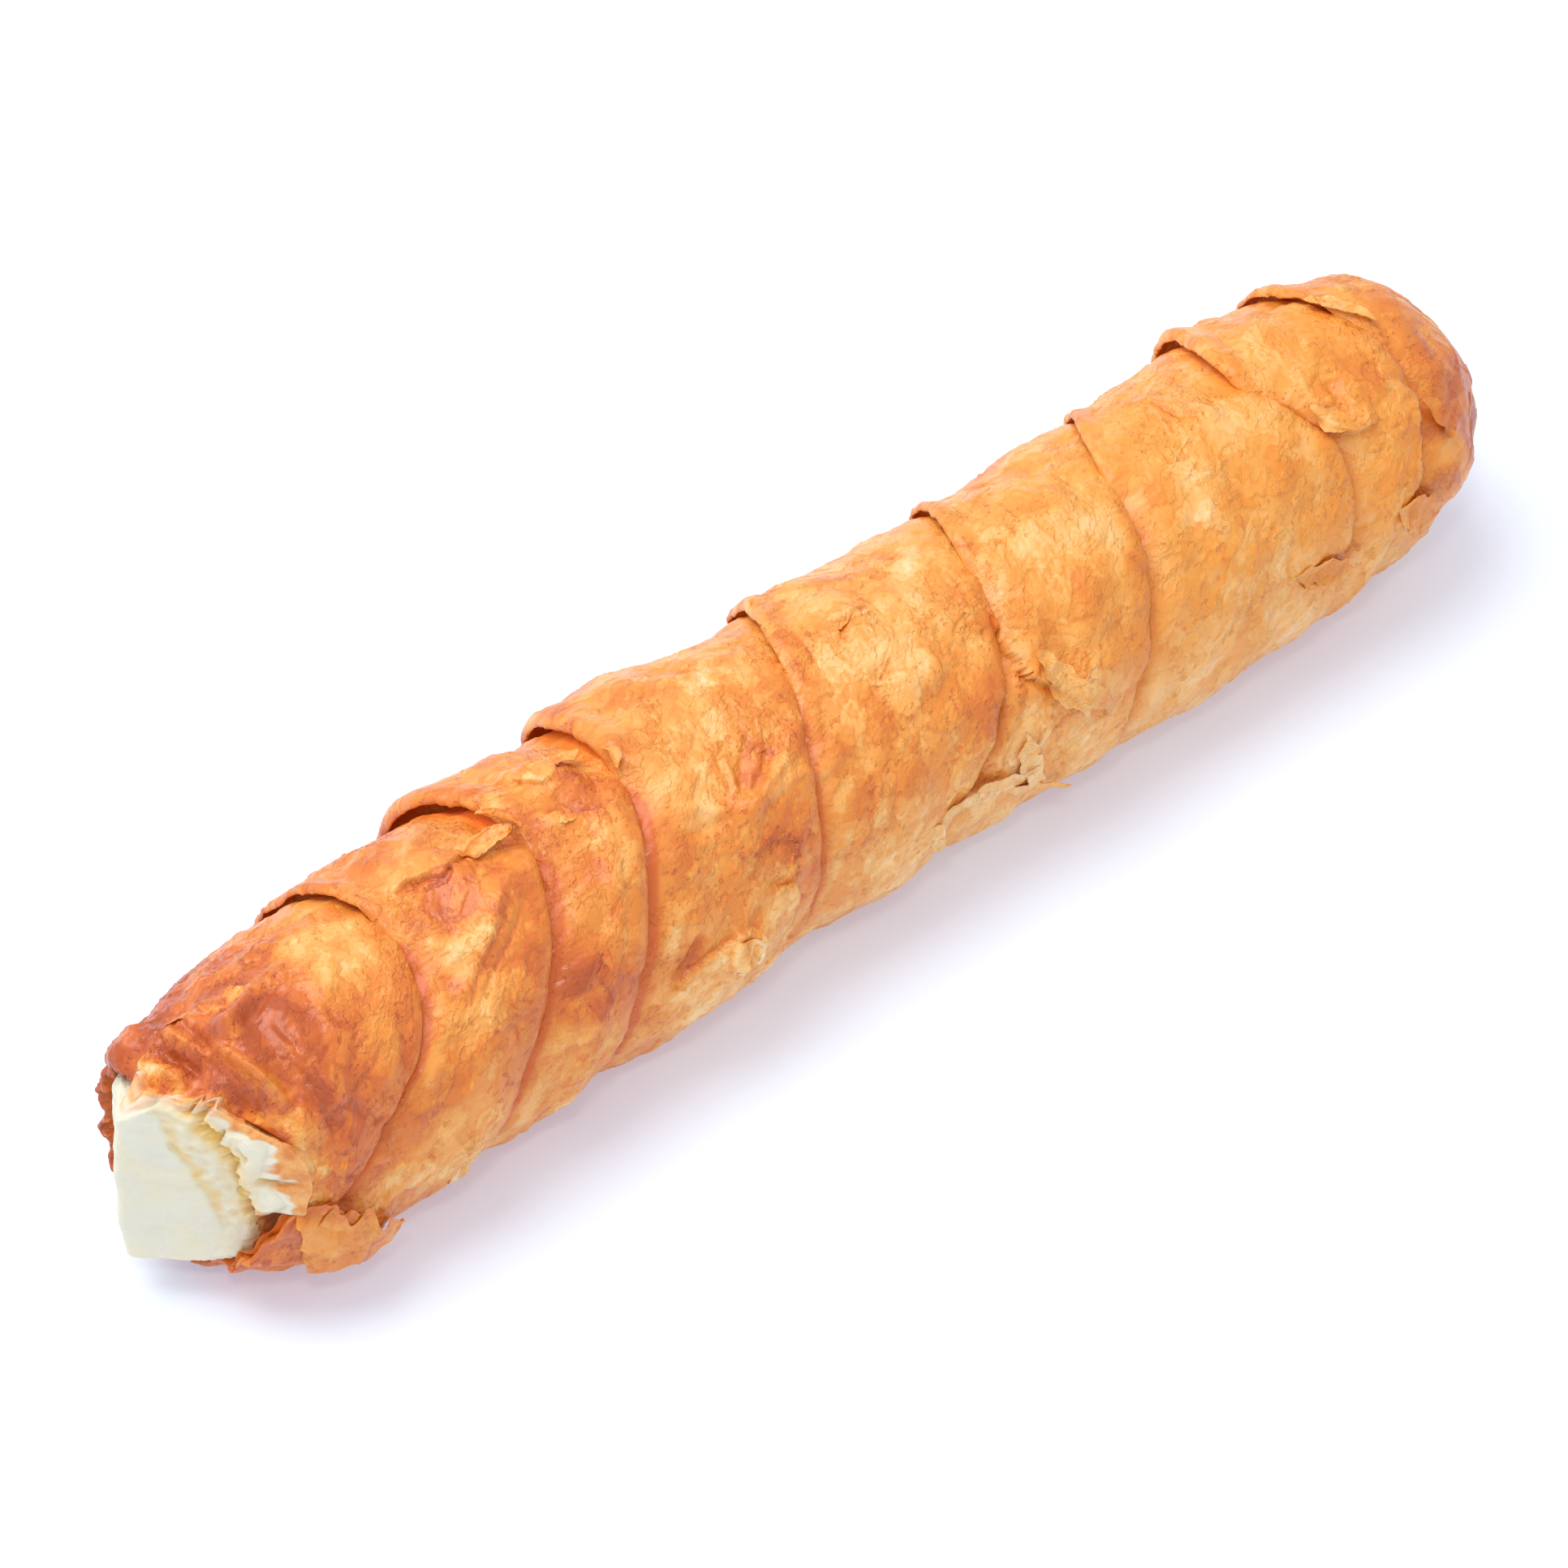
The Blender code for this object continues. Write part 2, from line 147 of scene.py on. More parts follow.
# Ridges: start, end, height and half width. Bumps: place, height, length along and width round.
RIDGES = (
    ((-110.0, -22.0), (-104.5, 6.0), 1.1, 2.4),
    ((-104.5, 6.0), (-107.0, 52.0), 1.7, 2.0),
    ((-104.5, 6.0), (-94.0, -4.0), 0.9, 1.8),
    ((-98.0, 16.0), (-99.0, 48.0), 0.8, 2.2),
    ((-72.0, 42.0), (-56.5, 17.0), 0.9, 1.4),
    ((-18.0, 43.0), (-3.0, 26.0), 0.8, 1.8),
    ((-18.0, 43.0), (-1.0, 44.0), 0.6, 1.8),
    ((80.0, -12.0), (85.0, 8.0), 0.7, 1.6),
)
BUMPS = (
    ((133.0, 8.0), 1.9, 14.0, 22.0),
    ((118.0, 122.0), -1.3, 14.0, 13.0),
    ((62.0, 112.0), 0.7, 22.0, 12.0),
    ((54.0, -48.0), -0.7, 8.0, 12.0),
    ((13.0, -48.0), 1.0, 9.0, 12.0),
    ((-18.0, -48.0), 1.0, 9.0, 12.0),
    ((-42.0, 112.0), 0.7, 10.0, 12.0),
    ((-98.0, -42.0), -2.2, 11.0, 15.0),
    ((-112.5, -42.0), 1.6, 3.5, 6.0),
    ((-101.0, 113.0), 2.4, 8.0, 5.0),
    ((-26.0, 90.0), 1.5, 6.0, 4.0),
    ((-40.0, -8.0), 1.0, 5.0, 4.0),
    ((17.0, 33.0), 0.9, 4.0, 3.0),
    ((44.0, 72.0), 1.3, 6.0, 4.5),
    ((122.0, 84.0), 1.3, 5.0, 5.0),
)

# Fine folds: start, end, height (a crease is below zero), half width, browning: partly the dough's own tone
# and partly painted light, paler on ridges as a painted highlight and browner in creases as painted shade.
FOLDS = (
    ((-17.0, 40.0), (-10.0, 28.0), -0.5, 0.7, 0.10),
    ((-18.5, 38.0), (-12.0, 19.0), -0.55, 0.7, 0.14),
    ((-20.5, 38.0), (-24.0, 20.0), -0.45, 0.7, 0.08),
    ((-22.0, 42.0), (-29.0, 40.0), -0.4, 0.8, 0.04),
    ((-18.0, 42.0), (-9.0, 35.0), 0.5, 0.7, -0.10),
    ((-19.0, 38.0), (-17.0, 22.0), 0.55, 0.6, -0.12),
    ((-22.0, 40.0), (-28.0, 28.0), 0.45, 0.8, -0.08),
    ((-17.0, 46.0), (-8.0, 44.0), -0.4, 0.6, 0.06),
    ((-33.0, 75.0), (-39.0, 88.0), -0.8, 0.9, 0.35),
    ((-23.0, 76.0), (-28.0, 88.0), -0.6, 0.8, 0.30),
    ((-72.0, 44.0), (-57.0, 19.0), -0.5, 0.7, 0.20),
    ((-70.0, 46.0), (-55.0, 24.0), -0.3, 0.5, 0.10),
    ((-73.0, 30.0), (-64.0, 28.0), 0.6, 1.2, -0.30),
    ((-72.0, 20.0), (-70.5, 28.0), 0.7, 0.6, -0.22),
    ((-107.5, 8.0), (-104.8, 42.0), 1.7, 0.8, -0.34),
    ((-111.0, 22.0), (-107.5, 58.0), -1.3, 1.6, 0.18),
    ((-104.0, 45.0), (-103.0, 60.0), 0.9, 1.3, -0.16),
    ((-106.0, 11.0), (-97.0, -3.0), 0.8, 0.7, -0.12),
    ((-103.5, 12.0), (-96.0, 3.0), -0.6, 0.7, 0.14),
    ((-118.5, -12.0), (-116.0, 8.0), -1.5, 0.9, 0.26),
    ((-120.5, -14.0), (-118.0, 10.0), 1.0, 0.7, -0.22),
    ((-115.0, -16.0), (-113.8, 14.0), 1.1, 0.7, -0.26),
    ((-112.4, -12.0), (-111.4, 12.0), -1.2, 0.7, 0.20),
    ((-110.0, -16.0), (-109.0, 10.0), 0.8, 0.6, -0.20),
    ((-107.6, -10.0), (-108.0, 6.0), -0.7, 0.6, 0.12),
    ((-99.0, 42.0), (-100.5, 62.0), -0.6, 0.8, 0.14),
    ((-96.0, 56.0), (-92.0, 72.0), -0.5, 1.0, 0.12),
    ((-88.0, 60.0), (-83.5, 40.0), -0.5, 0.9, 0.12),
    ((-92.5, 22.0), (-90.5, 36.0), -0.35, 0.6, 0.08),
    ((52.0, -40.0), (55.0, -2.0), -0.25, 0.8, 0.05),
    ((79.5, -14.0), (81.0, 0.0), -0.5, 0.6, 0.15),
    ((81.0, 0.0), (84.0, 8.0), -0.35, 0.5, 0.10),
    ((28.0, 58.0), (24.0, 78.0), -0.7, 0.8, 0.15),
    ((33.0, 24.0), (31.0, 47.0), -0.5, 1.5, 0.08),
    ((66.0, 78.0), (70.0, 108.0), -0.5, 1.4, 0.0),
    ((77.0, 86.0), (80.0, 110.0), 0.5, 1.4, 0.0),
    ((86.0, 84.0), (96.0, 92.0), -0.8, 1.0, 0.2),
    ((104.0, 20.0), (104.0, 36.0), -0.5, 0.9, 0.1),
    ((58.0, 36.0), (60.0, 47.0), -0.4, 0.8, 0.15),
)

# Torn edges of outer sheets: the line, how far its left side stands up, and browning there.
TEARS = (
    (((-53.0, -1.0), (-57.0, -2.0), (-60.0, 0.0), (-64.0, 2.5), (-66.0, -1.5), (-71.0, -4.0)), 0.6, -0.04),
    (
        ((-36.0, -20.0), (-37.5, -12.0), (-39.0, -5.0), (-42.5, -4.0), (-44.0, -10.0), (-46.0, -20.0)),
        0.55,
        -0.12,
    ),
    (((-46.0, 3.0), (-43.0, 9.0), (-38.0, 15.0), (-34.0, 13.0)), 0.5, -0.05),
    (((-24.0, 58.0), (-17.0, 57.5), (-14.0, 62.0), (-16.0, 72.0), (-21.0, 74.0)), -0.5, 0.0),
    (((-40.0, 92.0), (-34.0, 84.0), (-29.0, 82.0), (-27.0, 86.0), (-29.0, 96.0)), 0.8, -0.12),
    (((18.5, -1.5), (13.0, 1.0), (10.5, 6.0)), 0.45, -0.06),
    (
        ((45.5, 90.0), (44.0, 82.0), (40.0, 76.0), (38.0, 68.0), (33.5, 56.0), (33.0, 45.0), (34.0, 23.0)),
        0.95,
        0.02,
    ),
    (((33.0, 52.0), (31.0, 62.0), (27.0, 78.0), (24.0, 93.0)), 0.55, 0.05),
    (((-104.0, -16.0), (-105.0, -9.0), (-101.0, -6.0), (-97.5, -12.0), (-99.0, 2.0)), -0.4, -0.05),
    (((108.0, 44.0), (103.5, 43.0), (100.0, 37.0), (98.0, 28.0), (96.0, 16.0)), 0.6, -0.04),
    (((112.0, -25.0), (114.0, -12.0), (115.0, -2.0), (118.0, 4.0), (118.5, 20.0), (118.0, 36.0)), 0.7, -0.03),
    (((118.0, 42.0), (115.0, 50.0), (113.0, 62.0), (112.0, 71.0), (108.0, 79.0), (107.0, 92.0)), 0.9, -0.03),
    (((86.0, 93.0), (90.0, 84.0), (97.0, 80.0), (99.0, 88.0)), -0.6, 0.14),
    (((-78.5, 122.0), (-79.0, 106.0), (-84.0, 112.0)), 0.4, -0.05),
    (((49.0, 108.0), (52.0, 96.0), (56.0, 84.0)), 0.3, 0.0),
    (((119.0, 50.0), (123.0, 56.0), (124.0, 66.0)), 0.5, 0.08),
    (((-20.0, 74.0), (-16.0, 76.0), (-15.0, 84.0), (-17.0, 92.0)), 0.5, -0.06),
)

# Torn sheets and toasted spots: place, length along, length round, lean in degrees, height,
# browning and how ragged the outline is.
PATCHES = (
    ((-101.0, -7.0), 7.5, 4.5, 20.0, 0.40, -0.30, 0.8),
    ((-85.0, 2.0), 13.0, 14.0, 10.0, 0.05, -0.15, 0.5),
    ((-98.0, 30.0), 17.0, 22.0, 30.0, 0.0, 0.13, 0.6),
    ((-95.0, 58.0), 9.0, 8.0, 0.0, 0.0, 0.10, 0.6),
    ((-66.0, 11.0), 8.0, 7.0, 10.0, -0.15, 0.22, 0.6),
    ((-66.5, 1.0), 9.0, 2.2, 12.0, -0.5, 0.28, 0.8),
    ((30.0, 80.0), 9.0, 11.0, 10.0, -0.1, -0.16, 0.5),
    ((-93.0, 96.0), 14.0, 6.0, 0.0, 0.2, -0.12, 0.7),
    ((-55.0, 2.0), 8.5, 2.4, 4.0, 0.3, -0.20, 1.0),
    ((-67.0, 27.0), 9.0, 5.0, 0.0, 0.2, -0.14, 0.9),
    ((-54.0, 68.0), 11.0, 9.0, -20.0, 0.15, 0.20, 0.5),
    ((-39.0, -9.0), 7.5, 5.5, 35.0, -0.3, 0.10, 1.0),
    ((-38.5, 6.0), 8.0, 7.0, 0.0, -0.15, 0.25, 0.7),
    ((-45.5, 8.0), 4.5, 2.6, 50.0, 0.3, -0.22, 1.0),
    ((-18.0, 66.0), 7.5, 8.0, 15.0, -0.35, -0.02, 1.0),
    ((-12.5, 32.0), 5.0, 9.0, 30.0, 0.0, 0.20, 0.9),
    ((-27.0, 88.0), 7.0, 5.0, -30.0, 0.6, -0.20, 0.7),
    ((4.0, 3.0), 4.5, 11.0, 12.0, -0.1, 0.22, 0.3),
    ((14.5, 0.0), 7.0, 1.6, 20.0, 0.4, -0.20, 1.0),
    ((13.0, 36.0), 6.0, 6.5, 40.0, 0.30, -0.10, 0.9),
    ((19.0, 34.0), 3.6, 6.0, 20.0, 0.25, -0.08, 0.9),
    ((4.0, 65.0), 14.0, 7.0, 0.0, 0.05, 0.15, 0.7),
    ((22.0, -22.0), 3.4, 4.4, 40.0, 0.0, 0.16, 0.6),
    ((30.0, -22.0), 3.0, 6.0, -15.0, 0.0, 0.14, 0.6),
    ((107.0, 28.0), 13.0, 9.5, 0.0, -0.1, 0.12, 0.7),
    ((111.5, 28.0), 3.4, 3.4, 0.0, -0.25, 0.13, 0.5),
    ((104.0, 22.0), 4.5, 3.6, 20.0, -0.15, 0.10, 0.5),
    ((118.5, 56.0), 6.0, 5.5, 0.0, 0.25, 0.20, 1.0),
    ((114.0, 86.0), 12.0, 9.0, 0.0, 0.1, 0.30, 1.0),
    ((92.0, 86.0), 11.0, 4.0, 0.0, -0.3, 0.16, 0.8),
    ((58.0, 22.0), 8.0, 6.0, 0.0, 0.0, -0.12, 0.5),
    ((74.0, 30.0), 13.0, 7.0, 0.0, 0.0, -0.14, 0.6),
    ((129.0, 66.0), 14.0, 22.0, 0.0, 0.0, 0.34, 0.9),
    ((122.0, 30.0), 5.0, 12.0, 10.0, 0.0, 0.16, 0.9),
)

# Loose flakes and torn tips: the line along the middle, half widths at its start, middle and
# end, how far those stand off the dough, how far the sides curl up, and browning.
FLAKES = (
    (((-104.0, -11.0), (-101.0, -8.0), (-98.0, -7.0)), (1.9, 2.4, 0.9), (0.4, 0.45, 0.6), 0.2, -0.18),
    (((-109.0, -16.0), (-105.0, -13.0), (-102.0, -14.0)), (0.8, 1.2, 0.6), (0.4, 0.4, 0.5), 0.2, -0.12),
    (((-107.0, 102.0), (-100.0, 108.0), (-91.0, 116.0)), (5.0, 4.6, 0.6), (0.4, 1.2, 2.6), 0.9, 0.0),
    (((-108.0, 90.0), (-104.0, 98.0), (-98.0, 104.0)), (2.4, 3.6, 1.4), (0.2, 1.0, 1.2), 0.6, 0.0),
    (((-61.0, -4.0), (-56.5, 1.0), (-51.5, 4.0)), (0.9, 1.5, 0.7), (0.8, 1.4, 3.2), 0.4, -0.08),
    (((-54.0, -8.0), (-51.5, -1.0), (-50.5, 6.0)), (0.6, 1.1, 0.5), (3.4, 3.7, 3.2), 0.5, -0.08),
    (((-47.0, 4.0), (-44.0, 8.0), (-42.0, 12.0)), (0.8, 1.5, 0.6), (0.8, 0.7, 0.9), 0.3, -0.12),
    (((-41.0, -15.0), (-37.0, -11.0), (-33.5, -9.0)), (0.6, 1.5, 0.7), (0.7, 1.2, 2.6), 0.4, -0.12),
    (((-31.5, -4.0), (-31.0, 1.0), (-32.0, 6.0)), (0.4, 0.9, 0.4), (2.7, 2.7, 2.0), 0.4, -0.02),
    (((-31.0, 84.0), (-27.5, 90.0), (-26.0, 100.0)), (1.2, 2.6, 0.6), (0.5, 0.8, 0.5), 0.5, -0.16),
    (((10.0, 3.0), (14.0, 0.5), (18.0, -2.0)), (0.5, 0.8, 0.4), (0.6, 0.9, 0.7), 0.4, -0.12),
    (((36.0, 48.0), (38.5, 66.0), (46.0, 86.0)), (1.0, 2.6, 1.4), (1.3, 1.5, 1.3), 0.5, -0.04),
    (((30.0, 76.0), (30.0, 90.0), (34.0, 108.0)), (0.8, 2.2, 0.8), (0.7, 0.8, 1.2), 0.5, -0.14),
    (((13.0, 92.0), (22.0, 91.0), (33.0, 96.0)), (0.5, 1.4, 0.5), (0.6, 0.8, 1.0), 0.4, -0.10),
    (((26.0, 100.0), (33.0, 108.0), (39.0, 114.0)), (0.9, 0.8, 0.3), (0.4, 1.2, 2.6), 0.3, -0.10),
    (((98.5, 26.0), (100.0, 34.0), (103.5, 42.0)), (0.6, 1.6, 0.4), (1.2, 1.2, 0.9), 0.4, -0.06),
    (((84.0, 80.0), (91.0, 86.0), (97.0, 94.0)), (0.8, 2.4, 0.9), (0.6, 0.8, 1.0), 0.4, 0.00),
    (((106.0, 78.0), (110.0, 84.0), (116.0, 90.0)), (1.0, 2.8, 1.2), (1.0, 1.0, 0.7), 0.5, 0.06),
    (((117.0, 46.0), (119.0, 56.0), (120.0, 66.0)), (0.6, 1.8, 0.8), (1.0, 0.9, 0.7), 0.4, 0.06),
    (((113.0, -12.0), (115.5, -2.0), (118.0, 12.0)), (0.6, 1.3, 0.7), (1.4, 1.3, 1.0), 0.4, -0.04),
    (((-82.0, 108.0), (-80.0, 113.0), (-79.0, 121.0)), (0.8, 2.0, 0.5), (0.4, 0.9, 1.5), 0.4, -0.14),
    (((9.0, 92.0), (11.5, 98.0), (13.0, 106.0)), (0.9, 1.8, 0.4), (0.4, 0.8, 1.4), 0.4, -0.10),
)
FLAKE_STEPS = 70
FLAKE_COLUMNS = 22
FLAKE_THICKNESS = 0.16
MM_PER_DEGREE = 0.38

# How brown the dough is baked along the roll: (station, browning).
BAKING = (
    (-126.0, 0.74),
    (-112.0, 0.72),
    (-103.0, 0.72),
    (-95.0, 0.63),
    (-85.0, 0.50),
    (-60.0, 0.54),
    (-35.0, 0.46),
    (0.0, 0.40),
    (60.0, 0.36),
    (105.0, 0.37),
    (125.0, 0.50),
    (148.0, 0.70),
)

# Sheets one above another, by levels of a cloud: level, height and browning.
SHEET_STEPS = ((-0.16, 0.16, 0.10), (0.14, 0.13, -0.09), (0.33, 0.12, -0.08))

# Stations between which the near end's crumples fade, and the roll gets smoother.
CRUMPLED_STATIONS = (-108.0, -84.0)
SETTLED_STATIONS = (-50.0, 10.0)

# Each turn's dough takes its wrinkles and blotches from this much further on.
LAYER_SHIFT = 40.0

# Density of the surface: steps in a turn of dough, and columns across it.
STEPS = 540
NEAR_COLUMNS = 26
BODY_COLUMNS = 110
FAR_COLUMNS = 16
OUTSIDE_COLUMNS = NEAR_COLUMNS + BODY_COLUMNS + FAR_COLUMNS
INNER_COLUMNS = 5


def smooth_line(places, heights, at, period=None):
    """A smooth curve through points: cubic pieces with the slope of each point's neighbours."""
    places, heights = np.asarray(places, float), np.asarray(heights, float)
    if period:
        places = np.concatenate([places[-2:] - period, places, places[:2] + period])
        heights = np.concatenate([heights[-2:], heights, heights[:2]])
        at = (at - places[1]) % period + places[1]
    slopes = np.gradient(heights, places)
    at = np.clip(at, places[0], places[-1])
    k = np.clip(np.searchsorted(places, at, side="right") - 1, 0, len(places) - 2)
    span = places[k + 1] - places[k]
    t = (at - places[k]) / span
    rise = (3 - 2 * t) * t * t
    ease_in, ease_out = t * (1 - t) ** 2 * span, t * t * (t - 1) * span
    return (
        heights[k] * (1 - rise)
        + heights[k + 1] * rise
        + slopes[k] * ease_in
        + slopes[k + 1] * ease_out
    )


def smooth_step(x, low, high):
    """0 below a value, 1 above another and smooth between them."""
    t = np.clip((x - low) / (high - low), 0, 1)
    return t * t * (3 - 2 * t)


def turned(angle):
    """The same angle between -180 and 180 degrees."""
    return (angle + 180.0) % 360.0 - 180.0


def edge_course():
    """Course and station of the helix's known points, from the closed end to the mouth."""
    points = [
        (angle - 360.0 * turn, row[i])
        for turn, row in enumerate(TURN_EDGES, start=1)
        for i, angle in enumerate(EDGE_ANGLES)
    ]
    return sorted(points)


COURSE, STATION = np.array(edge_course()).T
COURSE_AT_MOUTH = COURSE[-1] + RUN_OUT_AT_MOUTH
COURSE_AT_TIP = COURSE[0] - RUN_OUT_AT_TIP


def mouth_station(angle):
    """Station of the dough's rim round the mouth."""
    angles, stations = np.array(MOUTH_EDGE).T
    return smooth_line(angles, stations, angle, period=360.0)


def edge_station(course):
    """Station of the dough's edge along its course, running out into the mouth and the tip."""
    mouth = mouth_station(course)
    tip = DOME_STATION + math.radians(TIP_RING_ANGLE) * DOME_RADIUS
    mouth_end = float(mouth_station(np.array([COURSE_AT_MOUTH]))[0])
    places = np.concatenate([[COURSE_AT_TIP], COURSE, [COURSE_AT_MOUTH]])
    stations = np.concatenate([[tip], STATION, [mouth_end]])
    inside = smooth_line(places, stations, course)
    return np.where(course >= COURSE_AT_MOUTH, mouth, np.maximum(inside, mouth))


def turn_value(course, column):
    """Lip height or groove depth of the turns' edges, smoothly along the course."""
    values = np.array([row[column] for row in TURN_EDGES])
    turn = (EDGE_ANGLES[1] - course) / 360.0 - 1.0
    return np.interp(turn, np.arange(len(values)), values)


def lift(angle):
    """How far an edge is a lifted lip (1) rather than a pressed-in groove (0)."""
    angle = turned(angle)
    return smooth_step(angle, *LIFT_BEGINS) * (1 - smooth_step(angle, *LIFT_ENDS))


def meridian(station, angle):
    """Station along X, radius, and the outward direction, of the roll's plain outline."""
    places, radii, _ = np.array(ROPE).T
    radius = smooth_line(places, radii, station)
    into_taper = np.clip((TAPER_STATION - station) / TAPER_LENGTH, 0, None)
    at_back = np.exp(-((turned(angle - BACK_TAPER_ANGLE) / BACK_TAPER_SPREAD) ** 2))
    drop = TAPER_DROP + BACK_TAPER_DROP * at_back
    radius = radius - drop * into_taper**2
    over_dome = np.clip((station - DOME_STATION) / DOME_RADIUS, 0, math.pi / 2)
    along = np.where(over_dome > 0, DOME_STATION + DOME_RADIUS * np.sin(over_dome), station)
    radius = np.where(over_dome > 0, DOME_RADIUS * np.cos(over_dome), radius)
    tilt = over_dome - np.arctan(2 * drop * into_taper / TAPER_LENGTH)
    return along, radius, np.sin(tilt), np.cos(tilt)


def ring(along, radius, angle):
    """Points in metres round the roll's axis, flat where the roll rests."""
    turn = np.radians(angle)
    along = along + 0 * turn
    places, _, strays = np.array(ROPE).T
    y = smooth_line(places, strays, along) - radius * np.sin(turn)
    z = np.maximum(AXIS_HEIGHT + radius * np.cos(turn), 0.0)
    return np.stack([along - BOX_CENTRE[0], y - BOX_CENTRE[1], z], axis=-1) * MM


def on_roll(station, angle, rise):
    """Points in metres at a height over the plain outline, at a station and an angle."""
    along, radius, out_x, out_r = meridian(station, angle)
    return ring(along + rise * out_x, radius + rise * out_r, angle)


# Smooth random values in space, the same in every run.
SHUFFLED = np.random.default_rng(7).permutation(1024)
DIRECTIONS = np.random.default_rng(8).normal(size=(1024, 3))
DIRECTIONS /= np.linalg.norm(DIRECTIONS, axis=1, keepdims=True)


def cloud(x, y, z, seed=0):
    """Gradient noise, about -1 to 1, with features about one unit across."""
    x, y, z = np.broadcast_arrays(x, y, z)
    cells = [np.floor(v).astype(np.int64) for v in (x, y, z)]
    inside = [v - c for v, c in zip((x, y, z), cells)]
    fades = [f * f * f * (f * (f * 6 - 15) + 10) for f in inside]
    total = np.zeros(x.shape)
    for dx in (0, 1):
        for dy in (0, 1):
            for dz in (0, 1):
                spot = SHUFFLED[(cells[2] + dz + 131 * seed) % 1024]
                spot = SHUFFLED[(cells[1] + dy + spot) % 1024]
                spot = SHUFFLED[(cells[0] + dx + spot) % 1024]
                way = DIRECTIONS[spot]
                share = (
                    (fades[0] if dx else 1 - fades[0])
                    * (fades[1] if dy else 1 - fades[1])
                    * (fades[2] if dz else 1 - fades[2])
                )
                slope = (
                    way[..., 0] * (inside[0] - dx)
                    + way[..., 1] * (inside[1] - dy)
                    + way[..., 2] * (inside[2] - dz)
                )
                total += share * slope
    # This brings the sums to about -1 to 1.
    return total * 1.7


def clouds(place, size, seed=0, octaves=3, gain=0.5):
    """Layers of noise with features of a size in millimetres and finer ones on top."""
    total, weight, whole = 0.0, 1.0, 0.0
    for octave in range(octaves):
        fine = 2.03**octave / size
        total = total + weight * cloud(*(place * fine), seed=seed + octave)
        whole += weight
        weight *= gain
    return total / whole


def near_line(station, angle, per_degree, start, end):
    """Distance from a straight stroke on the unrolled dough, and how far along it, 0 to 1."""
    x, y = station - start[0], turned(angle - start[1]) * per_degree
    dx, dy = end[0] - start[0], (end[1] - start[1]) * per_degree
    t = np.clip((x * dx + y * dy) / (dx * dx + dy * dy), 0, 1)
    return np.hypot(x - t * dx, y - t * dy), t


def beside_line(station, angle, per_degree, points):
    """Distance from a bent line, the same with a sign (above zero on its left), and a fade."""
    away = np.full(station.shape, 1e6)
    side, fade = np.zeros(station.shape), np.zeros(station.shape)
    count = len(points) - 1
    for k, (start, end) in enumerate(zip(points, points[1:])):
        x, y = station - start[0], turned(angle - start[1]) * per_degree
        dx, dy = end[0] - start[0], (end[1] - start[1]) * per_degree
        t = np.clip((x * dx + y * dy) / (dx * dx + dy * dy), 0, 1)
        distance = np.hypot(x - t * dx, y - t * dy)
        nearer = distance < away
        sign = np.sign(dx * y - dy * x)
        away = np.where(nearer, distance, away)
        side = np.where(nearer, sign * distance, side)
        fade = np.where(nearer, np.clip(4.0 * (k + t) * (count - k - t) / count, 0, 1), fade)
    return away, side, fade


def broad_relief(station, angle):
    """The solids' relief: swells, wrinkles, folds, pleats, flakes and flaps."""
    x, radius, _, _ = meridian(station, angle)
    per_degree = math.radians(1) * radius
    height = np.zeros(station.shape)
    for start, end, ridge_height, half_width in RIDGES:
        away, _ = near_line(station, angle, per_degree, start, end)
        height += ridge_height * np.exp(-((away / half_width) ** 2))
    for (bump_station, bump_angle), bump_height, length, width in BUMPS:
        along = (station - bump_station) / length
        across = turned(angle - bump_angle) * per_degree / width
        height += bump_height * np.exp(-((along**2 + across**2) ** 2))
    pleated = 1 - smooth_step(station, *PLEATED_STATIONS)
    turn = np.radians(angle)
    height += PLEAT * pleated * np.sin(PLEAT_COUNT * turn + 2.4 * np.sin(3 * turn))
    places = np.stack([x, radius * np.sin(turn), radius * np.cos(turn)], axis=-1)
    uneven = [
        SWELL * noise.noise(Vector(place) / SWELL_SPACING)
        + WRINKLE * noise.noise(Vector(place) / WRINKLE_SPACING)
        for place in places.reshape(-1, 3).tolist()
    ]
    return height + np.array(uneven).reshape(height.shape)


def layer_shift(course):
    """How far on a turn's dough takes its wrinkles and blotches from."""
    return LAYER_SHIFT * np.clip((course - COURSE_AT_TIP) / 360.0, 0, None)


def add_tears(height, browning, station, angle, per_degree, place):
    """Lifts the dough on one side of each torn edge, with painted shadow in a darker strip below it."""
    jag = 0.7 * clouds(place, 3.4, seed=111, octaves=3, gain=0.6)
    for points, tear_height, brown in TEARS:
        away, side, fade = beside_line(station + jag, angle + 2.0 * jag, per_degree, points)
        raised = smooth_step(side, -0.12, 0.12) * np.exp(-away / 8.0) * fade
        height += tear_height * raised
        browning += brown * raised
        # Painted shadow in a narrow strip below the raised edge.
        under = smooth_step(-side, -0.1, 0.15) * np.exp(-((away / 0.9) ** 2)) * fade
        height -= 0.3 * tear_height * under
        browning += 0.16 * under


def add_folds(height, browning, station, angle, per_degree):
    """Adds fine folds and creases, weaker towards their ends."""
    for start, end, fold_height, half_width, brown in FOLDS:
        away, along = near_line(station, angle, per_degree, start, end)
        fade = np.sqrt(np.clip(1 - (2 * along - 1) ** 4, 0, 1)) * 0.7 + 0.3
        shape = np.exp(-((away / half_width) ** 2)) * fade
        height += fold_height * shape
        # Painted highlight on ridges and painted shade in creases, through each fold's browning.
        browning += brown * np.exp(-((away / (1.6 * half_width)) ** 2)) * fade


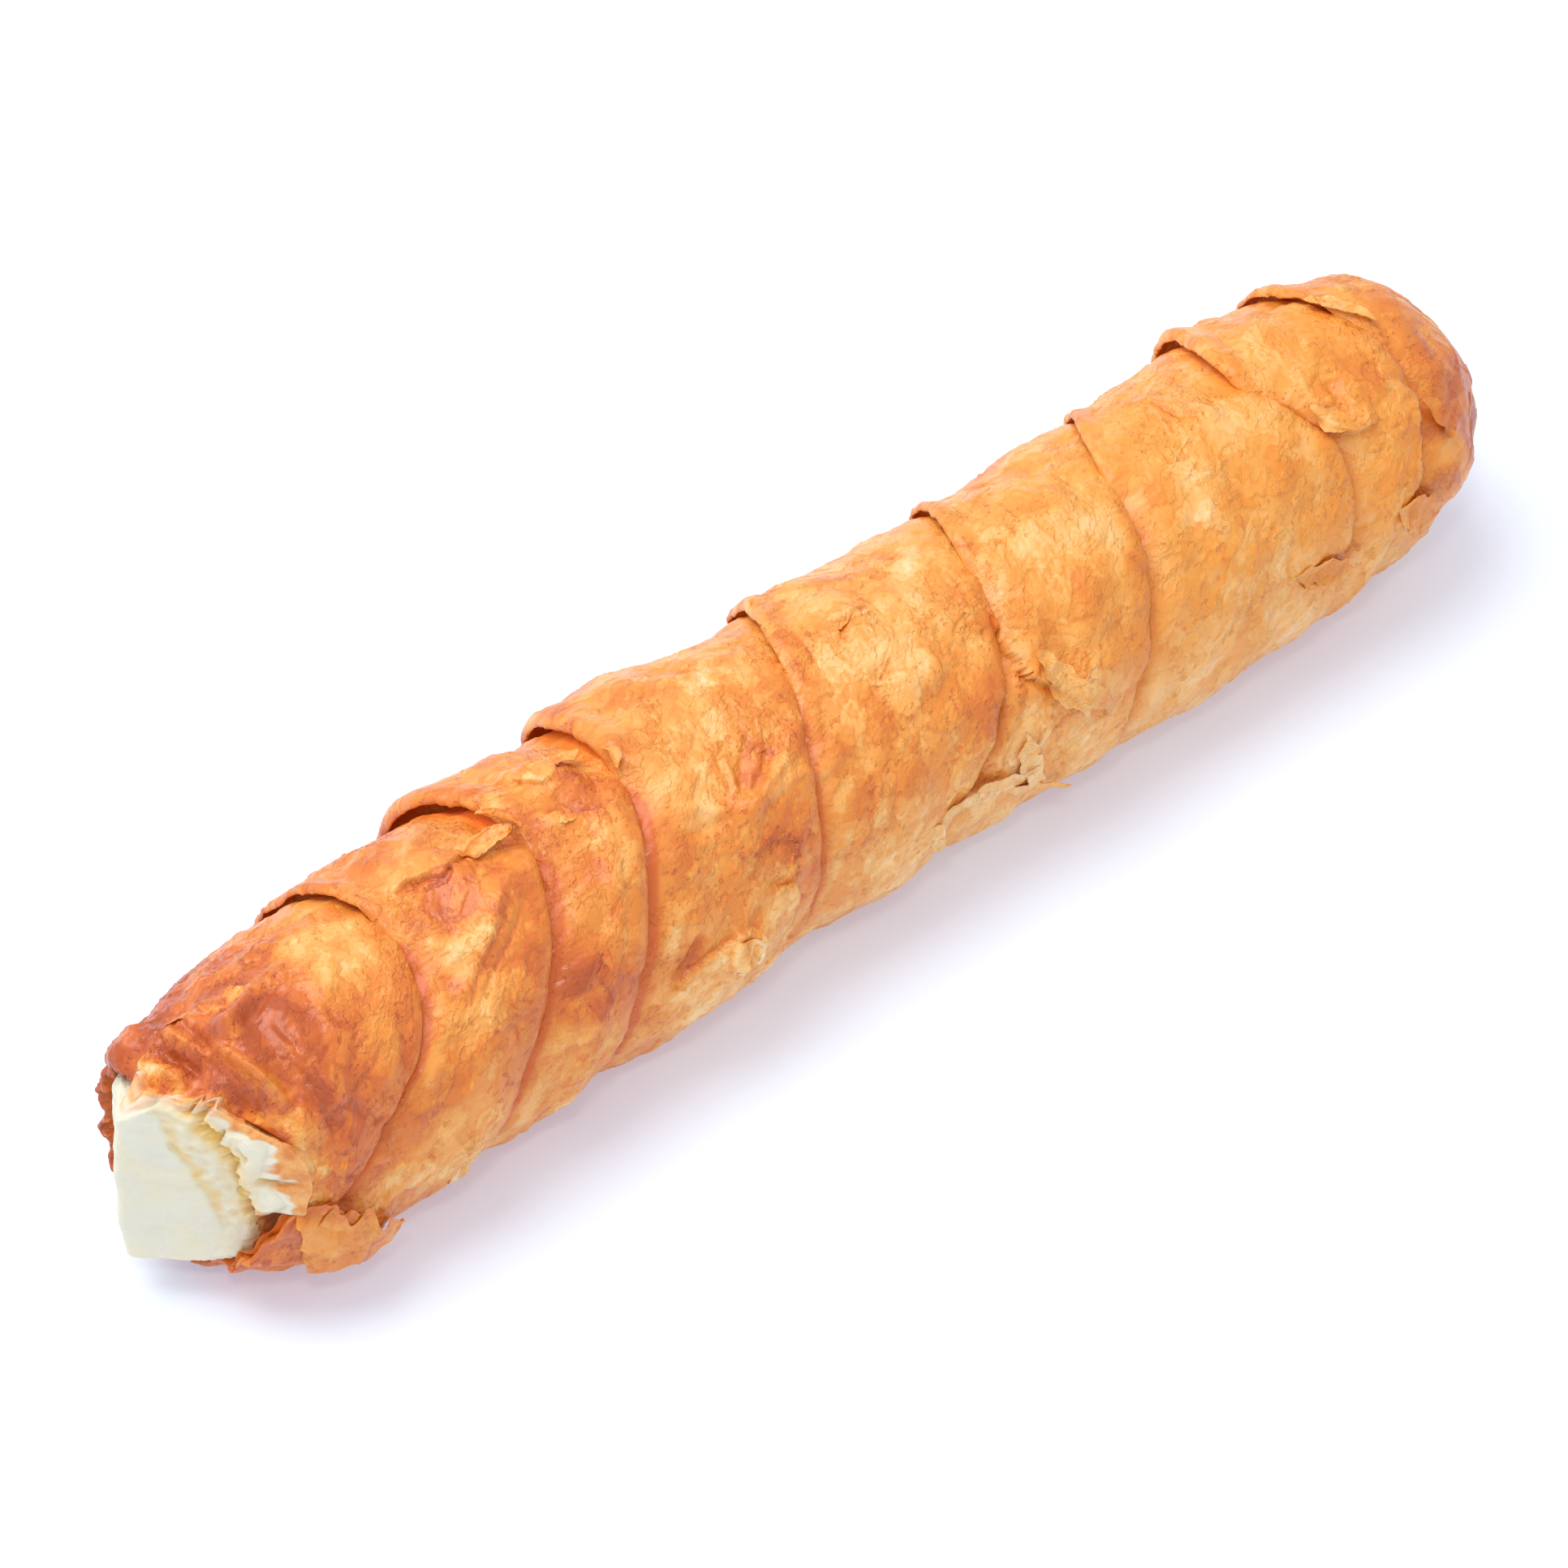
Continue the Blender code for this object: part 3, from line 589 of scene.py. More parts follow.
def add_patches(height, browning, station, angle, per_degree, place):
    """Adds torn sheets, with a sharp and darker rim, and toasted spots."""
    ragged = 0.6 * clouds(place, 3.0, seed=71, octaves=4, gain=0.65)
    for (at, spin), length, around, lean, patch_height, brown, raggedness in PATCHES:
        dx, dy = station - at, turned(angle - spin) * per_degree
        c, s = math.cos(math.radians(lean)), math.sin(math.radians(lean))
        reach = np.hypot((dx * c + dy * s) / (length / 2), (dy * c - dx * s) / (around / 2))
        reach = reach + raggedness * ragged
        softness = 0.05 + 0.25 * (abs(patch_height) < 0.1)
        inside = 1 - smooth_step(reach, 1 - softness, 1 + softness)
        rim = np.exp(-(((reach - 1.1) / 0.12) ** 2))
        height += patch_height * inside * (0.6 + 0.4 * smooth_step(reach, 0, 1))
        browning += 0.7 * brown * inside + 0.06 * rim * (abs(patch_height) > 0.1)


def fine_relief(station, angle, course):
    """Height and browning of the thin baked sheets: wrinkles, torn layers, blisters, patches."""
    x, radius, _, _ = meridian(station, angle)
    per_degree = math.radians(1) * radius
    turn = np.radians(angle)
    place = np.stack([x + layer_shift(course), radius * np.sin(turn), radius * np.cos(turn)])

    # Bent out of line, so that no wrinkle or blotch is straight.
    bend = np.stack([clouds(place, 9.0, seed=s, octaves=2) for s in (11, 14, 17)])
    bent = place + 3.0 * bend

    slow = clouds(place, 22.0, seed=3, octaves=2)
    dents = clouds(bent, 5.5, seed=5, octaves=4, gain=0.55)
    drawn_out = bent * np.array([1.0, 0.55, 0.55])[:, None, None]
    crepe = np.clip(1 - np.abs(clouds(drawn_out, 2.3, seed=9, octaves=3)) * 2.6, -1, 1)
    crumple = 1 - np.abs(clouds(bent, 7.5, seed=21, octaves=3)) * 3.4
    crumple = np.clip(crumple, 0, 1) ** 2
    near_end = 1 - smooth_step(station, *CRUMPLED_STATIONS)
    crumpled = smooth_step(slow, -0.15, 0.35) * 0.6 + near_end * 0.4

    settled = smooth_step(station, *SETTLED_STATIONS)
    height = (0.38 + 0.12 * near_end - 0.10 * settled) * dents
    height += 0.13 * crepe * (0.2 + 1.2 * smooth_step(-slow, -0.2, 0.35) + 0.4 * near_end)
    height += (0.46 + 0.4 * near_end - 0.12 * settled) * crumple * crumpled

    # Torn outer layers: the dough steps down by a sheet's thickness along ragged contours.
    contour = clouds(bent, 11.0, seed=31, octaves=4, gain=0.55)
    browning = np.zeros(station.shape)
    for level, step_height, tone in SHEET_STEPS:
        inside = smooth_step(contour, level - 0.012, level + 0.012)
        rim = np.exp(-(((contour - level) / 0.035) ** 2))
        height += step_height * inside
        browning += tone * (inside - 0.5) + 0.07 * rim * (1 - inside)
    blotch = clouds(bent, 7.0, seed=41, octaves=4, gain=0.6)
    browning += 0.08 * smooth_step(blotch, 0.05, 0.16) - 0.06 * smooth_step(-blotch, 0.06, 0.3)
    browning += 0.10 * clouds(place, 16.0, seed=51, octaves=2)
    browning += 0.25 * near_end * clouds(bent, 4.5, seed=53, octaves=4, gain=0.65)
    browning -= 0.05 * crumple * crumpled

    # Blisters.
    bubbles = clouds(place, 1.5, seed=61, octaves=1)
    bubbly = smooth_step(clouds(place, 14.0, seed=63, octaves=1), 0.0, 0.4)
    blister = smooth_step(bubbles, 0.42, 0.62) * bubbly
    height += 0.16 * blister
    browning -= 0.08 * blister

    add_tears(height, browning, station, angle, per_degree, place)
    add_folds(height, browning, station + 0.5 * bend[0], angle + 1.5 * bend[1], per_degree)
    add_patches(height, browning, station, angle, per_degree, place)
    return height, browning


def baking(station, angle):
    """How brown the dough is by its place, browner at both ends; by angle it carries painted light: paler low
    at the front as painted bounce from the floor, and browner at the front as painted shade.
    """
    places, values = np.array(BAKING).T
    spin = turned(angle)
    low = smooth_step(spin, 72.0, 98.0) * (1 - smooth_step(spin, 150.0, 178.0))
    shoulder = np.exp(-(((spin - 56.0) / 17.0) ** 2))
    back = smooth_step(-spin, 20.0, 60.0)
    front = smooth_step(spin, 12.0, 50.0)
    near_top = (1 - smooth_step(station, -104.0, -84.0)) * (1 - front)
    # Painted light: the low paleness stands in for light bounced off the floor, and the front browning stands
    # in for shade.
    brown = smooth_line(places, values, station) - 0.12 * low + 0.02 * shoulder
    return brown + 0.05 * back + 0.04 * front - 0.03 + 0.14 * near_top


def select_only(obj):
    bpy.ops.object.select_all(action="DESELECT")
    obj.select_set(True)
    bpy.context.view_layer.objects.active = obj


def grid_piece(name, rows, columns):
    """A new grid to be shaped: its points run column by column, then row by row."""
    bpy.ops.object.select_all(action="DESELECT")
    bpy.ops.mesh.primitive_grid_add(x_subdivisions=columns - 1, y_subdivisions=rows - 1, size=1)
    piece = bpy.context.object
    piece.name = name
    assert len(piece.data.vertices) == rows * columns
    return piece


def place_points(piece, points):
    piece.data.vertices.foreach_set("co", np.asarray(points, np.float32).ravel())
    piece.data.update()


def paint(piece, **values):
    """Stores one number a point, which the finish reads."""
    for name, value in values.items():
        layer = piece.data.attributes.new(name, "FLOAT", "POINT")
        layer.data.foreach_set("value", np.asarray(value, np.float32).ravel())


def select_doubled(piece):
    """Selects only the points that lie exactly on another one."""
    mesh = piece.data
    places = np.empty(3 * len(mesh.vertices), np.float32)
    mesh.vertices.foreach_get("co", places)
    _, which, times = np.unique(
        places.reshape(-1, 3), axis=0, return_inverse=True, return_counts=True
    )
    mesh.vertices.foreach_set("select", times[which.ravel()] > 1)
    for parts in (mesh.edges, mesh.polygons):
        parts.foreach_set("select", np.zeros(len(parts), bool))


def close_up(piece, sharp=70.0):
    """Merges doubled points, caps open ends, faces outwards and shades smooth."""
    select_only(piece)
    select_doubled(piece)
    bpy.ops.object.mode_set(mode="EDIT")
    bpy.ops.mesh.remove_doubles(threshold=1e-6)
    bpy.ops.mesh.select_all(action="SELECT")
    bpy.ops.mesh.delete_loose(use_verts=True, use_edges=True, use_faces=False)
    bpy.ops.mesh.select_all(action="SELECT")
    bpy.ops.mesh.fill_holes(sides=0)
    bpy.ops.mesh.select_all(action="SELECT")
    bpy.ops.mesh.normals_make_consistent(inside=False)
    bpy.ops.object.mode_set(mode="OBJECT")
    bpy.ops.object.shade_smooth_by_angle(angle=math.radians(sharp))


def spline_weights(controls, columns):
    """How much each control counts at each column of a smooth line through all of them."""
    at = np.linspace(0, controls - 1, columns)
    weights = np.zeros((columns, controls))
    for row, t in enumerate(at):
        k = min(int(t), controls - 2)
        f = t - k
        basis = (
            -0.5 * f**3 + f**2 - 0.5 * f,
            1.5 * f**3 - 2.5 * f**2 + 1,
            -1.5 * f**3 + 2 * f**2 + 0.5 * f,
            0.5 * f**3 - 0.5 * f**2,
        )
        for j, share in zip((k - 1, k, k + 1, k + 2), basis):
            weights[row, min(max(j, 0), controls - 1)] += share
    return weights


# The dough's cross-section at its near edge, as (distance from the edge, rise): in shares of
# a lip's height, in shares of 1.2 times a groove's depth, and in millimetres at the mouth.
LIP_NEAR = (
    (1.9, -0.9),
    (1.5, 0.12),
    (0.55, 0.60),
    (-0.10, 0.40),
    (-0.36, 0.42),
    (-0.24, 0.78),
    (0.45, 1.0),
    (2.0, 0.55),
)
GROOVE_NEAR = (
    (0.6, -3.0),
    (0.0, -2.6),
    (-0.3, -2.1),
    (-0.3, -1.7),
    (0.1, -1.35),
    (1.0, -0.85),
    (2.6, -0.30),
    (4.6, 0.0),
)
MOUTH_NEAR = (
    (4.0, -2.9),
    (1.6, -2.4),
    (0.6, -1.7),
    (0.0, -1.1),
    (-0.25, -0.6),
    (-0.1, -0.2),
    (0.6, 0.0),
    (2.6, 0.0),
)

# The same at its far edge: in millimetres under a lip and at the dome's pole, and in shares
# of the groove's depth elsewhere.
LIP_FAR = ((-4.0, 0.0), (-2.0, -0.1), (0.5, -0.7), (3.0, -1.3), (5.5, -2.0), (5.0, -3.0))
GROOVE_FAR = ((-2.6, 0.35), (-1.2, 0.28), (0.0, -0.15), (0.35, -0.7), (-0.1, -1.5), (-0.9, -2.6))
POLE_FAR = ((-3.6, 0.0), (-2.7, 0.0), (-1.92, 0.0), (-1.2, 0.0), (-0.54, 0.0), (0.0, 0.0))

# How much of a tear moves the near edge's middle points along, and of the fringe lifts them.
TORN_POINTS = np.array([0.3, 1.0, 1.0, 0.8, 0.2])
FRINGED_POINTS = np.array([0.6, 1.0, 1.0, 1.0, 1.0, 0.8, 0.3])


def smear_share(angle):
    """1 where the cheese lies over the crust's rim, 0 elsewhere."""
    away = np.abs(turned(angle - SMEAR_ANGLE))
    return 1 - smooth_step(away, SMEAR_SPREAD - 9.0, SMEAR_SPREAD)


def mouth_shift(angle):
    """How far the thin rim stands back under the cheese, and out beside the slab's foot."""
    beside_foot = np.exp(-((turned(angle - FOOT_ANGLE) / FOOT_SPREAD) ** 2))
    return RIM_SETBACK * smear_share(angle) - FOOT_REACH * beside_foot


def groove_depth(course):
    """Depth of the groove at a turn's near edge, less where the roll rests."""
    underneath = smooth_step(np.abs(turned(course)), *RESTING_ANGLES)
    depth = turn_value(course + 360.0, GROOVE_DEPTH)
    return depth * (1 - GROOVE_LOST_UNDERNEATH * underneath)


def near_profile(number, course, free, at_mouth):
    """Points of the near edge: a torn lip, a groove or, where the turn isn't free, the rim."""
    around = np.radians(course) * 22.5
    waver = cloud(around / 8.0, 3.3 * number, 0.5, seed=81)
    rough = cloud(around / 1.3, 3.3 * number, 0.5, seed=82)
    rough = rough + 0.5 * cloud(around / 0.55, 1.7 * number, 0.5, seed=83)
    lip = turn_value(course + 360.0, LIP_HEIGHT) * (1 + 0.3 * waver)
    groove = 1.2 * np.maximum(groove_depth(course), 0.5)
    lip_share = (lift(course) * free)[:, None, None]
    groove_share = ((1 - lift(course)) * free)[:, None, None]
    rim_share = (1 - free)[:, None, None]
    profile = (
        lip_share * np.array(LIP_NEAR) * lip[:, None, None]
        + groove_share * np.array(GROOVE_NEAR) * groove[:, None, None]
        + rim_share * np.array(MOUTH_NEAR)
    )
    fringe = cloud(around / 2.6, 2.1 * number, 0.5, seed=84) + 0.6 * rough
    frayed = at_mouth * (1.0 - 0.85 * smear_share(course))
    tear = 0.28 * rough * lift(course + 20.0) * free + 0.75 * fringe * frayed
    profile[:, 2:7, 0] += tear[:, None] * TORN_POINTS
    profile[:, 1:8, 1] += (frayed * 0.45 * fringe)[:, None] * FRINGED_POINTS
    return profile


def far_profile(course):
    """Points of the far edge: tucked under the next turn's lip, or down into its groove."""
    share = lift(course)[:, None, None]
    groove = np.maximum(turn_value(course, GROOVE_DEPTH), 0.5)[:, None, None]
    return share * np.array(LIP_FAR) + (1 - share) * np.array(GROOVE_FAR) * groove


def turn_sections(near_points, far_points, width, at_pole):
    """Closed sections of a turn: near edge, outside, far edge and the wall's inner side."""
    near_columns = np.einsum("ck,skv->scv", spline_weights(len(LIP_NEAR), NEAR_COLUMNS), near_points)
    far_columns = np.einsum("ck,skv->scv", spline_weights(len(LIP_FAR), FAR_COLUMNS), far_points)
    far_columns = far_columns + np.stack([width, 0 * width], axis=-1)[:, None]
    start, end = near_columns[:, -1], far_columns[:, 0]
    share = np.linspace(0, 1, BODY_COLUMNS + 2)[1:-1]
    lean = 3 * share**2 - 2 * share**3
    body = np.zeros((len(width), BODY_COLUMNS, 2))
    body[:, :, 0] = start[:, :1] + (end[:, :1] - start[:, :1]) * share
    puff = PUFF * np.clip(width / PUFF_WIDTH, 0, 1)[:, None] * np.sin(np.pi * share)
    body[:, :, 1] = start[:, 1:] * (1 - lean) + end[:, 1:] * lean + puff

    inner = np.zeros((len(width), INNER_COLUMNS, 2))
    inner[:, :, 0] = width[:, None] * np.linspace(1.0 if at_pole else 0.94, 0.06, INNER_COLUMNS)
    depth = np.maximum(WALL * np.clip(width / 12.0, 0.0, 1.0), 0.4 if at_pole else 0.0)
    inner[:, :, 1] = -depth[:, None] - 0.3
    return np.concatenate([near_columns, body, far_columns, inner, near_columns[:, :1]], axis=1)


def beside_groove(station, far, course):
    """How near the dough's outside is to the groove at its turn's far edge."""
    to_far = (far[:, None] - station) / 5.0
    return np.exp(-np.clip(to_far, 0, 3) ** 2) * (1 - lift(course)[:, None])


def soaked_dough(station, angle, course):
    """How pale and soaked the dough is beside the cheese."""
    from_rim = station - (mouth_station(course) + RIM_SETBACK)[:, None]
    soaked = np.exp(-(np.clip(from_rim, 0, None) / 2.6) ** 2) * smear_share(course)[:, None]
    uneven = clouds(np.stack([station, angle * 0.3, 0 * station]), 2.6, seed=87)
    return soaked * (0.38 + 0.7 * uneven)


def creases_and_slots(from_near, from_far, course, free):
    """How deep the dough lies in grooves, and under a lip where that shows near the top: shares for painted
    shade, and under a lip for a painted glow.
    """
    grooved = 1 - lift(course)[:, None]
    crease = np.exp(-((from_near / 2.8) ** 2)) * grooved * free[:, None]
    crease = np.maximum(crease, 0.7 * np.exp(-((from_far / 1.2) ** 2)) * grooved)
    crease = 0.85 * crease * np.clip(groove_depth(course)[:, None] / 1.6, 0.35, 1.0)
    lip_above = np.clip((turn_value(course, LIP_HEIGHT) - 1.5) / 1.5, 0.1, 1)
    spin = turned(course)
    near_top = smooth_step(spin, -80.0, -35.0) * (1 - smooth_step(spin, -8.0, 18.0))
    slot = np.exp(-(((from_far - 0.5) / 1.8) ** 2)) * (lift(course) * lip_above)[:, None]
    return crease, slot * near_top[:, None]


def make_turn(number, first, last):
    """One turn of dough between two courses, as a closed solid with its lip and its groove."""
    steps = int(round(STEPS * (last - first) / 360.0)) + 1
    course = np.linspace(first, last, steps)
    at_pole = last <= COURSE_AT_TIP + 1.0
    near, far = edge_station(course + 360.0), edge_station(course)
    from_mouth = near - mouth_station(course)
    at_mouth = 1 - smooth_step(from_mouth, *FRAYED)
    near = near + mouth_shift(course) * at_mouth
    width = far - near
    free = smooth_step(width, *NARROW_WIDTH) * smooth_step(from_mouth, *FADE_FROM_MOUTH)
    free = free * (1 - smooth_step(near, *FADE_ON_DOME))

    # A narrow turn has small edges, and the turn at the tip closes on the dome's pole.
    scale = (np.clip(width / 15.0, 0.0, 1.0) ** 0.8)[:, None, None]
    near_points = near_profile(number, course, free, at_mouth) * scale
    far_points = far_profile(course) * scale
    if at_pole:
        far = np.full(steps, POLE_STATION)
        width = far - near
        far_points = np.array(POLE_FAR) * np.clip(width / 8.0, 0.02, 1.0)[:, None, None]
    section = turn_sections(near_points, far_points, width, at_pole)

    station, rise = near[:, None] + section[:, :, 0], section[:, :, 1]
    angle = np.broadcast_to(course[:, None], station.shape)
    outside = (slice(None), slice(OUTSIDE_COLUMNS))
    broad = broad_relief(station[outside], angle[outside])
    fine, browning = fine_relief(station[outside], angle[outside], angle[outside])
    relieved = np.zeros(OUTSIDE_COLUMNS)
    relieved[3:-4] = 1.0
    relief = np.zeros(station.shape)
    relief[outside] = broad + fine * np.clip(width / 10.0, 0.0, 1.0)[:, None] * relieved
    across = np.linspace(0, 1, INNER_COLUMNS)
    relief[:, OUTSIDE_COLUMNS:-1] = across * (broad[:, :1] - broad[:, -1:]) + broad[:, -1:]
    relief[:, -1] = relief[:, 0]

    toast = np.full(station.shape, 0.6)
    toast[outside] = browning + baking(station[outside], angle[outside])
    from_near, from_far = station - near[:, None], far[:, None] - station
    crease, slot = creases_and_slots(from_near, from_far, course, free)
    if at_pole:
        crease, slot = 0 * crease, 0 * slot
    else:
        # Painted shade: the dough is browner beside the groove at its turn's far edge.
        toast[outside] += 0.12 * beside_groove(station[outside], far, course)
    toast[outside] -= soaked_dough(station[outside], angle[outside], course)
    # Share of painted shade: in creases, in the slot under a lip and where the dough lies low, weaker towards
    # the far end.
    hollow = np.clip(crease + slot + 0.8 * smooth_step(-rise, 0.3, 1.8), 0, 1)
    hollow = hollow * (1 - 0.45 * smooth_step(station, -25.0, 30.0))
    crest = (lift(course) * free)[:, None] * np.exp(-(((from_near - 1.0) / 1.8) ** 2))

    piece = grid_piece(f"wrap_{number}", steps, section.shape[1])
    place_points(piece, on_roll(station, angle, rise + relief))
    paint(
        piece,
        toast=np.clip(toast, 0, 1.2),
        hollow=hollow,
        under_lip=np.clip(slot, 0, 1),
        crest=crest,
        layer=layer_shift(angle) * MM,
    )
    close_up(piece)
    return piece


def make_flake(number, line, half_widths, stand_off, curl, brown):
    """A thin torn flake of dough that lies on the roll, as a closed sheet."""
    share = np.linspace(0, 1, FLAKE_STEPS)
    thirds = (0.0, 0.5, 1.0)
    stations = smooth_line(thirds, [point[0] for point in line], share)
    angles = smooth_line(thirds, [point[1] for point in line], share)
    per_degree = math.radians(1) * meridian(stations, angles)[1]
    ahead = np.stack([np.gradient(stations), np.gradient(angles) * per_degree])
    ahead /= np.linalg.norm(ahead, axis=0)
    length = np.hypot(line[2][0] - line[0][0], MM_PER_DEGREE * (line[2][1] - line[0][1]))
    walked = share * length
    taper = np.sqrt(np.clip(1 - np.abs(2 * share - 1) ** 5, 0, 1))
    half = smooth_line(thirds, half_widths, share) * taper
    sides = [
        half * (1 + 0.55 * cloud(walked / 2.2, 9.1 * number, side, seed=121))
        + 0.22 * taper * cloud(walked / 0.7, 9.1 * number, side, seed=122)
        for side in (0.3, 7.7)
    ]
    across = np.sin(np.linspace(-1, 1, FLAKE_COLUMNS) * math.pi / 2)
    offset = np.where(across > 0, np.outer(sides[0], across), np.outer(sides[1], across))
    station = stations[:, None] - offset * ahead[1][:, None]
    angle = angles[:, None] + offset * (ahead[0] / per_degree)[:, None]
    waves = 0.35 * cloud(station / 2.4, angle * MM_PER_DEGREE / 2.4, 3.3 * number, seed=123)
    stands = smooth_line(thirds, stand_off, share)[:, None]
    height = stands + curl * across**2 * taper[:, None] + waves * taper[:, None]
    fine, tone = fine_relief(station, angle, angle)
    under = broad_relief(station, angle) + 0.5 * fine
    top = on_roll(station, angle, under + height + 0.5 * FLAKE_THICKNESS)
    bottom = on_roll(station, angle, under + height - 0.5 * FLAKE_THICKNESS)
    points = np.concatenate([top, bottom[:, ::-1], top[:, :1]], axis=1)

    piece = grid_piece(f"flake_{number}", FLAKE_STEPS, points.shape[1])
    place_points(piece, points)
    zeros = np.zeros(points.shape[:2])
    tone = 0.7 * tone + baking(station, angle) + brown
    toast = np.concatenate([tone, tone[:, ::-1], tone[:, :1]], axis=1)
    paint(piece, toast=toast, hollow=zeros, under_lip=zeros, crest=zeros, layer=zeros + 0.7 * number)
    close_up(piece)
    return piece


class Wire:
    """An output of the finish that takes part in sums: each sum adds its Math node."""

    def __init__(self, finish, socket):
        self.finish = finish
        self.socket = socket

    def sum(self, operation, first, second):
        return self.finish.add("ShaderNodeMath", {"operation": operation}, {0: first, 1: second})

    def __add__(self, other):
        return self.sum("ADD", self, other)

    __radd__ = __add__

    def __sub__(self, other):
        return self.sum("SUBTRACT", self, other)

    def __rsub__(self, other):
        return self.sum("SUBTRACT", other, self)

    def __mul__(self, other):
        return self.sum("MULTIPLY", self, other)

    __rmul__ = __mul__

    def __abs__(self):
        return self.finish.add("ShaderNodeMath", {"operation": "ABSOLUTE"}, {0: self})

    def between(self, low, high):
        """0 below a value, 1 above another and smooth between them."""
        settings = {"interpolation_type": "SMOOTHSTEP"}
        return self.finish.add("ShaderNodeMapRange", settings, {0: self, 1: low, 2: high})


class Finish:
    """A material and the ways to build it up."""

    def __init__(self, name):
        self.material = bpy.data.materials.new(name)
        self.material.use_nodes = True
        self.tree = self.material.node_tree
        self.shader = self.tree.nodes["Principled BSDF"]

    def add(self, kind, settings, sockets, output=0):
        """A new node of a kind: its settings are set first, and then its sockets."""
        node = self.tree.nodes.new(kind)
        for name, value in settings.items():
            if name == "stops":
                self.set_stops(node.color_ramp.elements, value)
            else:
                setattr(node, name, value)
        for name, value in sockets.items():
            self.plug(node.inputs[name], value)
        return Wire(self, node.outputs[output])

    def set_stops(self, stops, colours):
        """A new ramp has two stops, which become the first and the last of the colours."""
        for place, code in colours[1:-1]:
            stops.new(place).color = tint(code)
        for stop, (place, code) in ((stops[0], colours[0]), (stops[-1], colours[-1])):
            stop.position = place
            stop.color = tint(code)

    def plug(self, socket, value):
        if isinstance(value, Wire):
            self.tree.links.new(value.socket, socket)
        else:
            socket.default_value = value

    def set(self, **values):
        """Sets or links sockets of the shader by their names."""
        for name, value in values.items():
            self.plug(self.shader.inputs[name.replace("_", " ")], value)

    def painted(self, name):
        """A value that the piece stores for each of its points."""
        return self.add("ShaderNodeAttribute", {"attribute_name": name}, {}, output="Fac")

    def here(self):
        """The place on the piece, in metres from the frame's origin."""
        return self.add("ShaderNodeTexCoord", {}, {}, output="Object")

    def grain(self, where, size, detail=3.0, roughness=0.5):
        """Noise with features of a size in millimetres."""
        sockets = {"Vector": where, "Scale": 1000.0 / size, "Detail": detail, "Roughness": roughness}
        return self.add("ShaderNodeTexNoise", {}, sockets)

    def ridges(self, where, size):
        """Thin crests, 0 to 1, about as far apart as a size in millimetres."""
        waves = self.grain(where, size, detail=3.0, roughness=0.55)
        return 1.0 - abs(waves - 0.5).between(0.0, 0.09)

    def blend(self, share, first, second):
        """The first colour where the share is 0, the second where it is 1."""
        sockets = {0: share, 6: first, 7: second}
        return self.add("ShaderNodeMix", {"data_type": "RGBA"}, sockets, output=2)

    def bump(self, height, depth):
        """Fine relief of a depth in millimetres."""
        sockets = {"Height": height, "Distance": depth * MM, "Strength": 1.0}
        return self.add("ShaderNodeBump", {}, sockets)


def tint(code):
    """A colour for a socket, in linear light, of a written one such as F0A860."""
    parts = [int(code[i : i + 2], 16) / 255 for i in (0, 2, 4)]
    linear = [p / 12.92 if p <= 0.04045 else ((p + 0.055) / 1.055) ** 2.4 for p in parts]
    return (*linear, 1.0)


# The dough's colours as it bakes, from pale to well browned: (browning, colour).
BAKED_COLOURS = (
    (0.05, "FADDB0"),
    (0.25, "F6C27C"),
    (0.42, "EFA650"),
    (0.58, "E68C34"),
    (0.75, "D9742A"),
    (0.88, "C86024"),
    (1.0, "B6521E"),
)
GOLDEN = "F09C30"
SPECK = "A85020"
# Painted shade: darker, redder dough in hollows and, deeper still, in creases.
SHADE_IN_HOLLOWS = "DE7A28"
SHADE_IN_CREASES = "CC5A18"

# Painted glow in creases and under lips, emitted to stand in for light coming through the thin dough.
PAINTED_CREASE_GLOW = (0.045, 0.014, 0.002, 1.0)
PAINTED_LIP_GLOW = (0.42, 0.085, 0.018, 1.0)
NO_GLOW = (0.0, 0.0, 0.0, 1.0)

# Places in metres along the roll where its far half turns more golden, and the dome less.
GOLDEN_BEGINS = (-0.01, 0.07)
GOLDEN_ENDS = (0.105, 0.122)


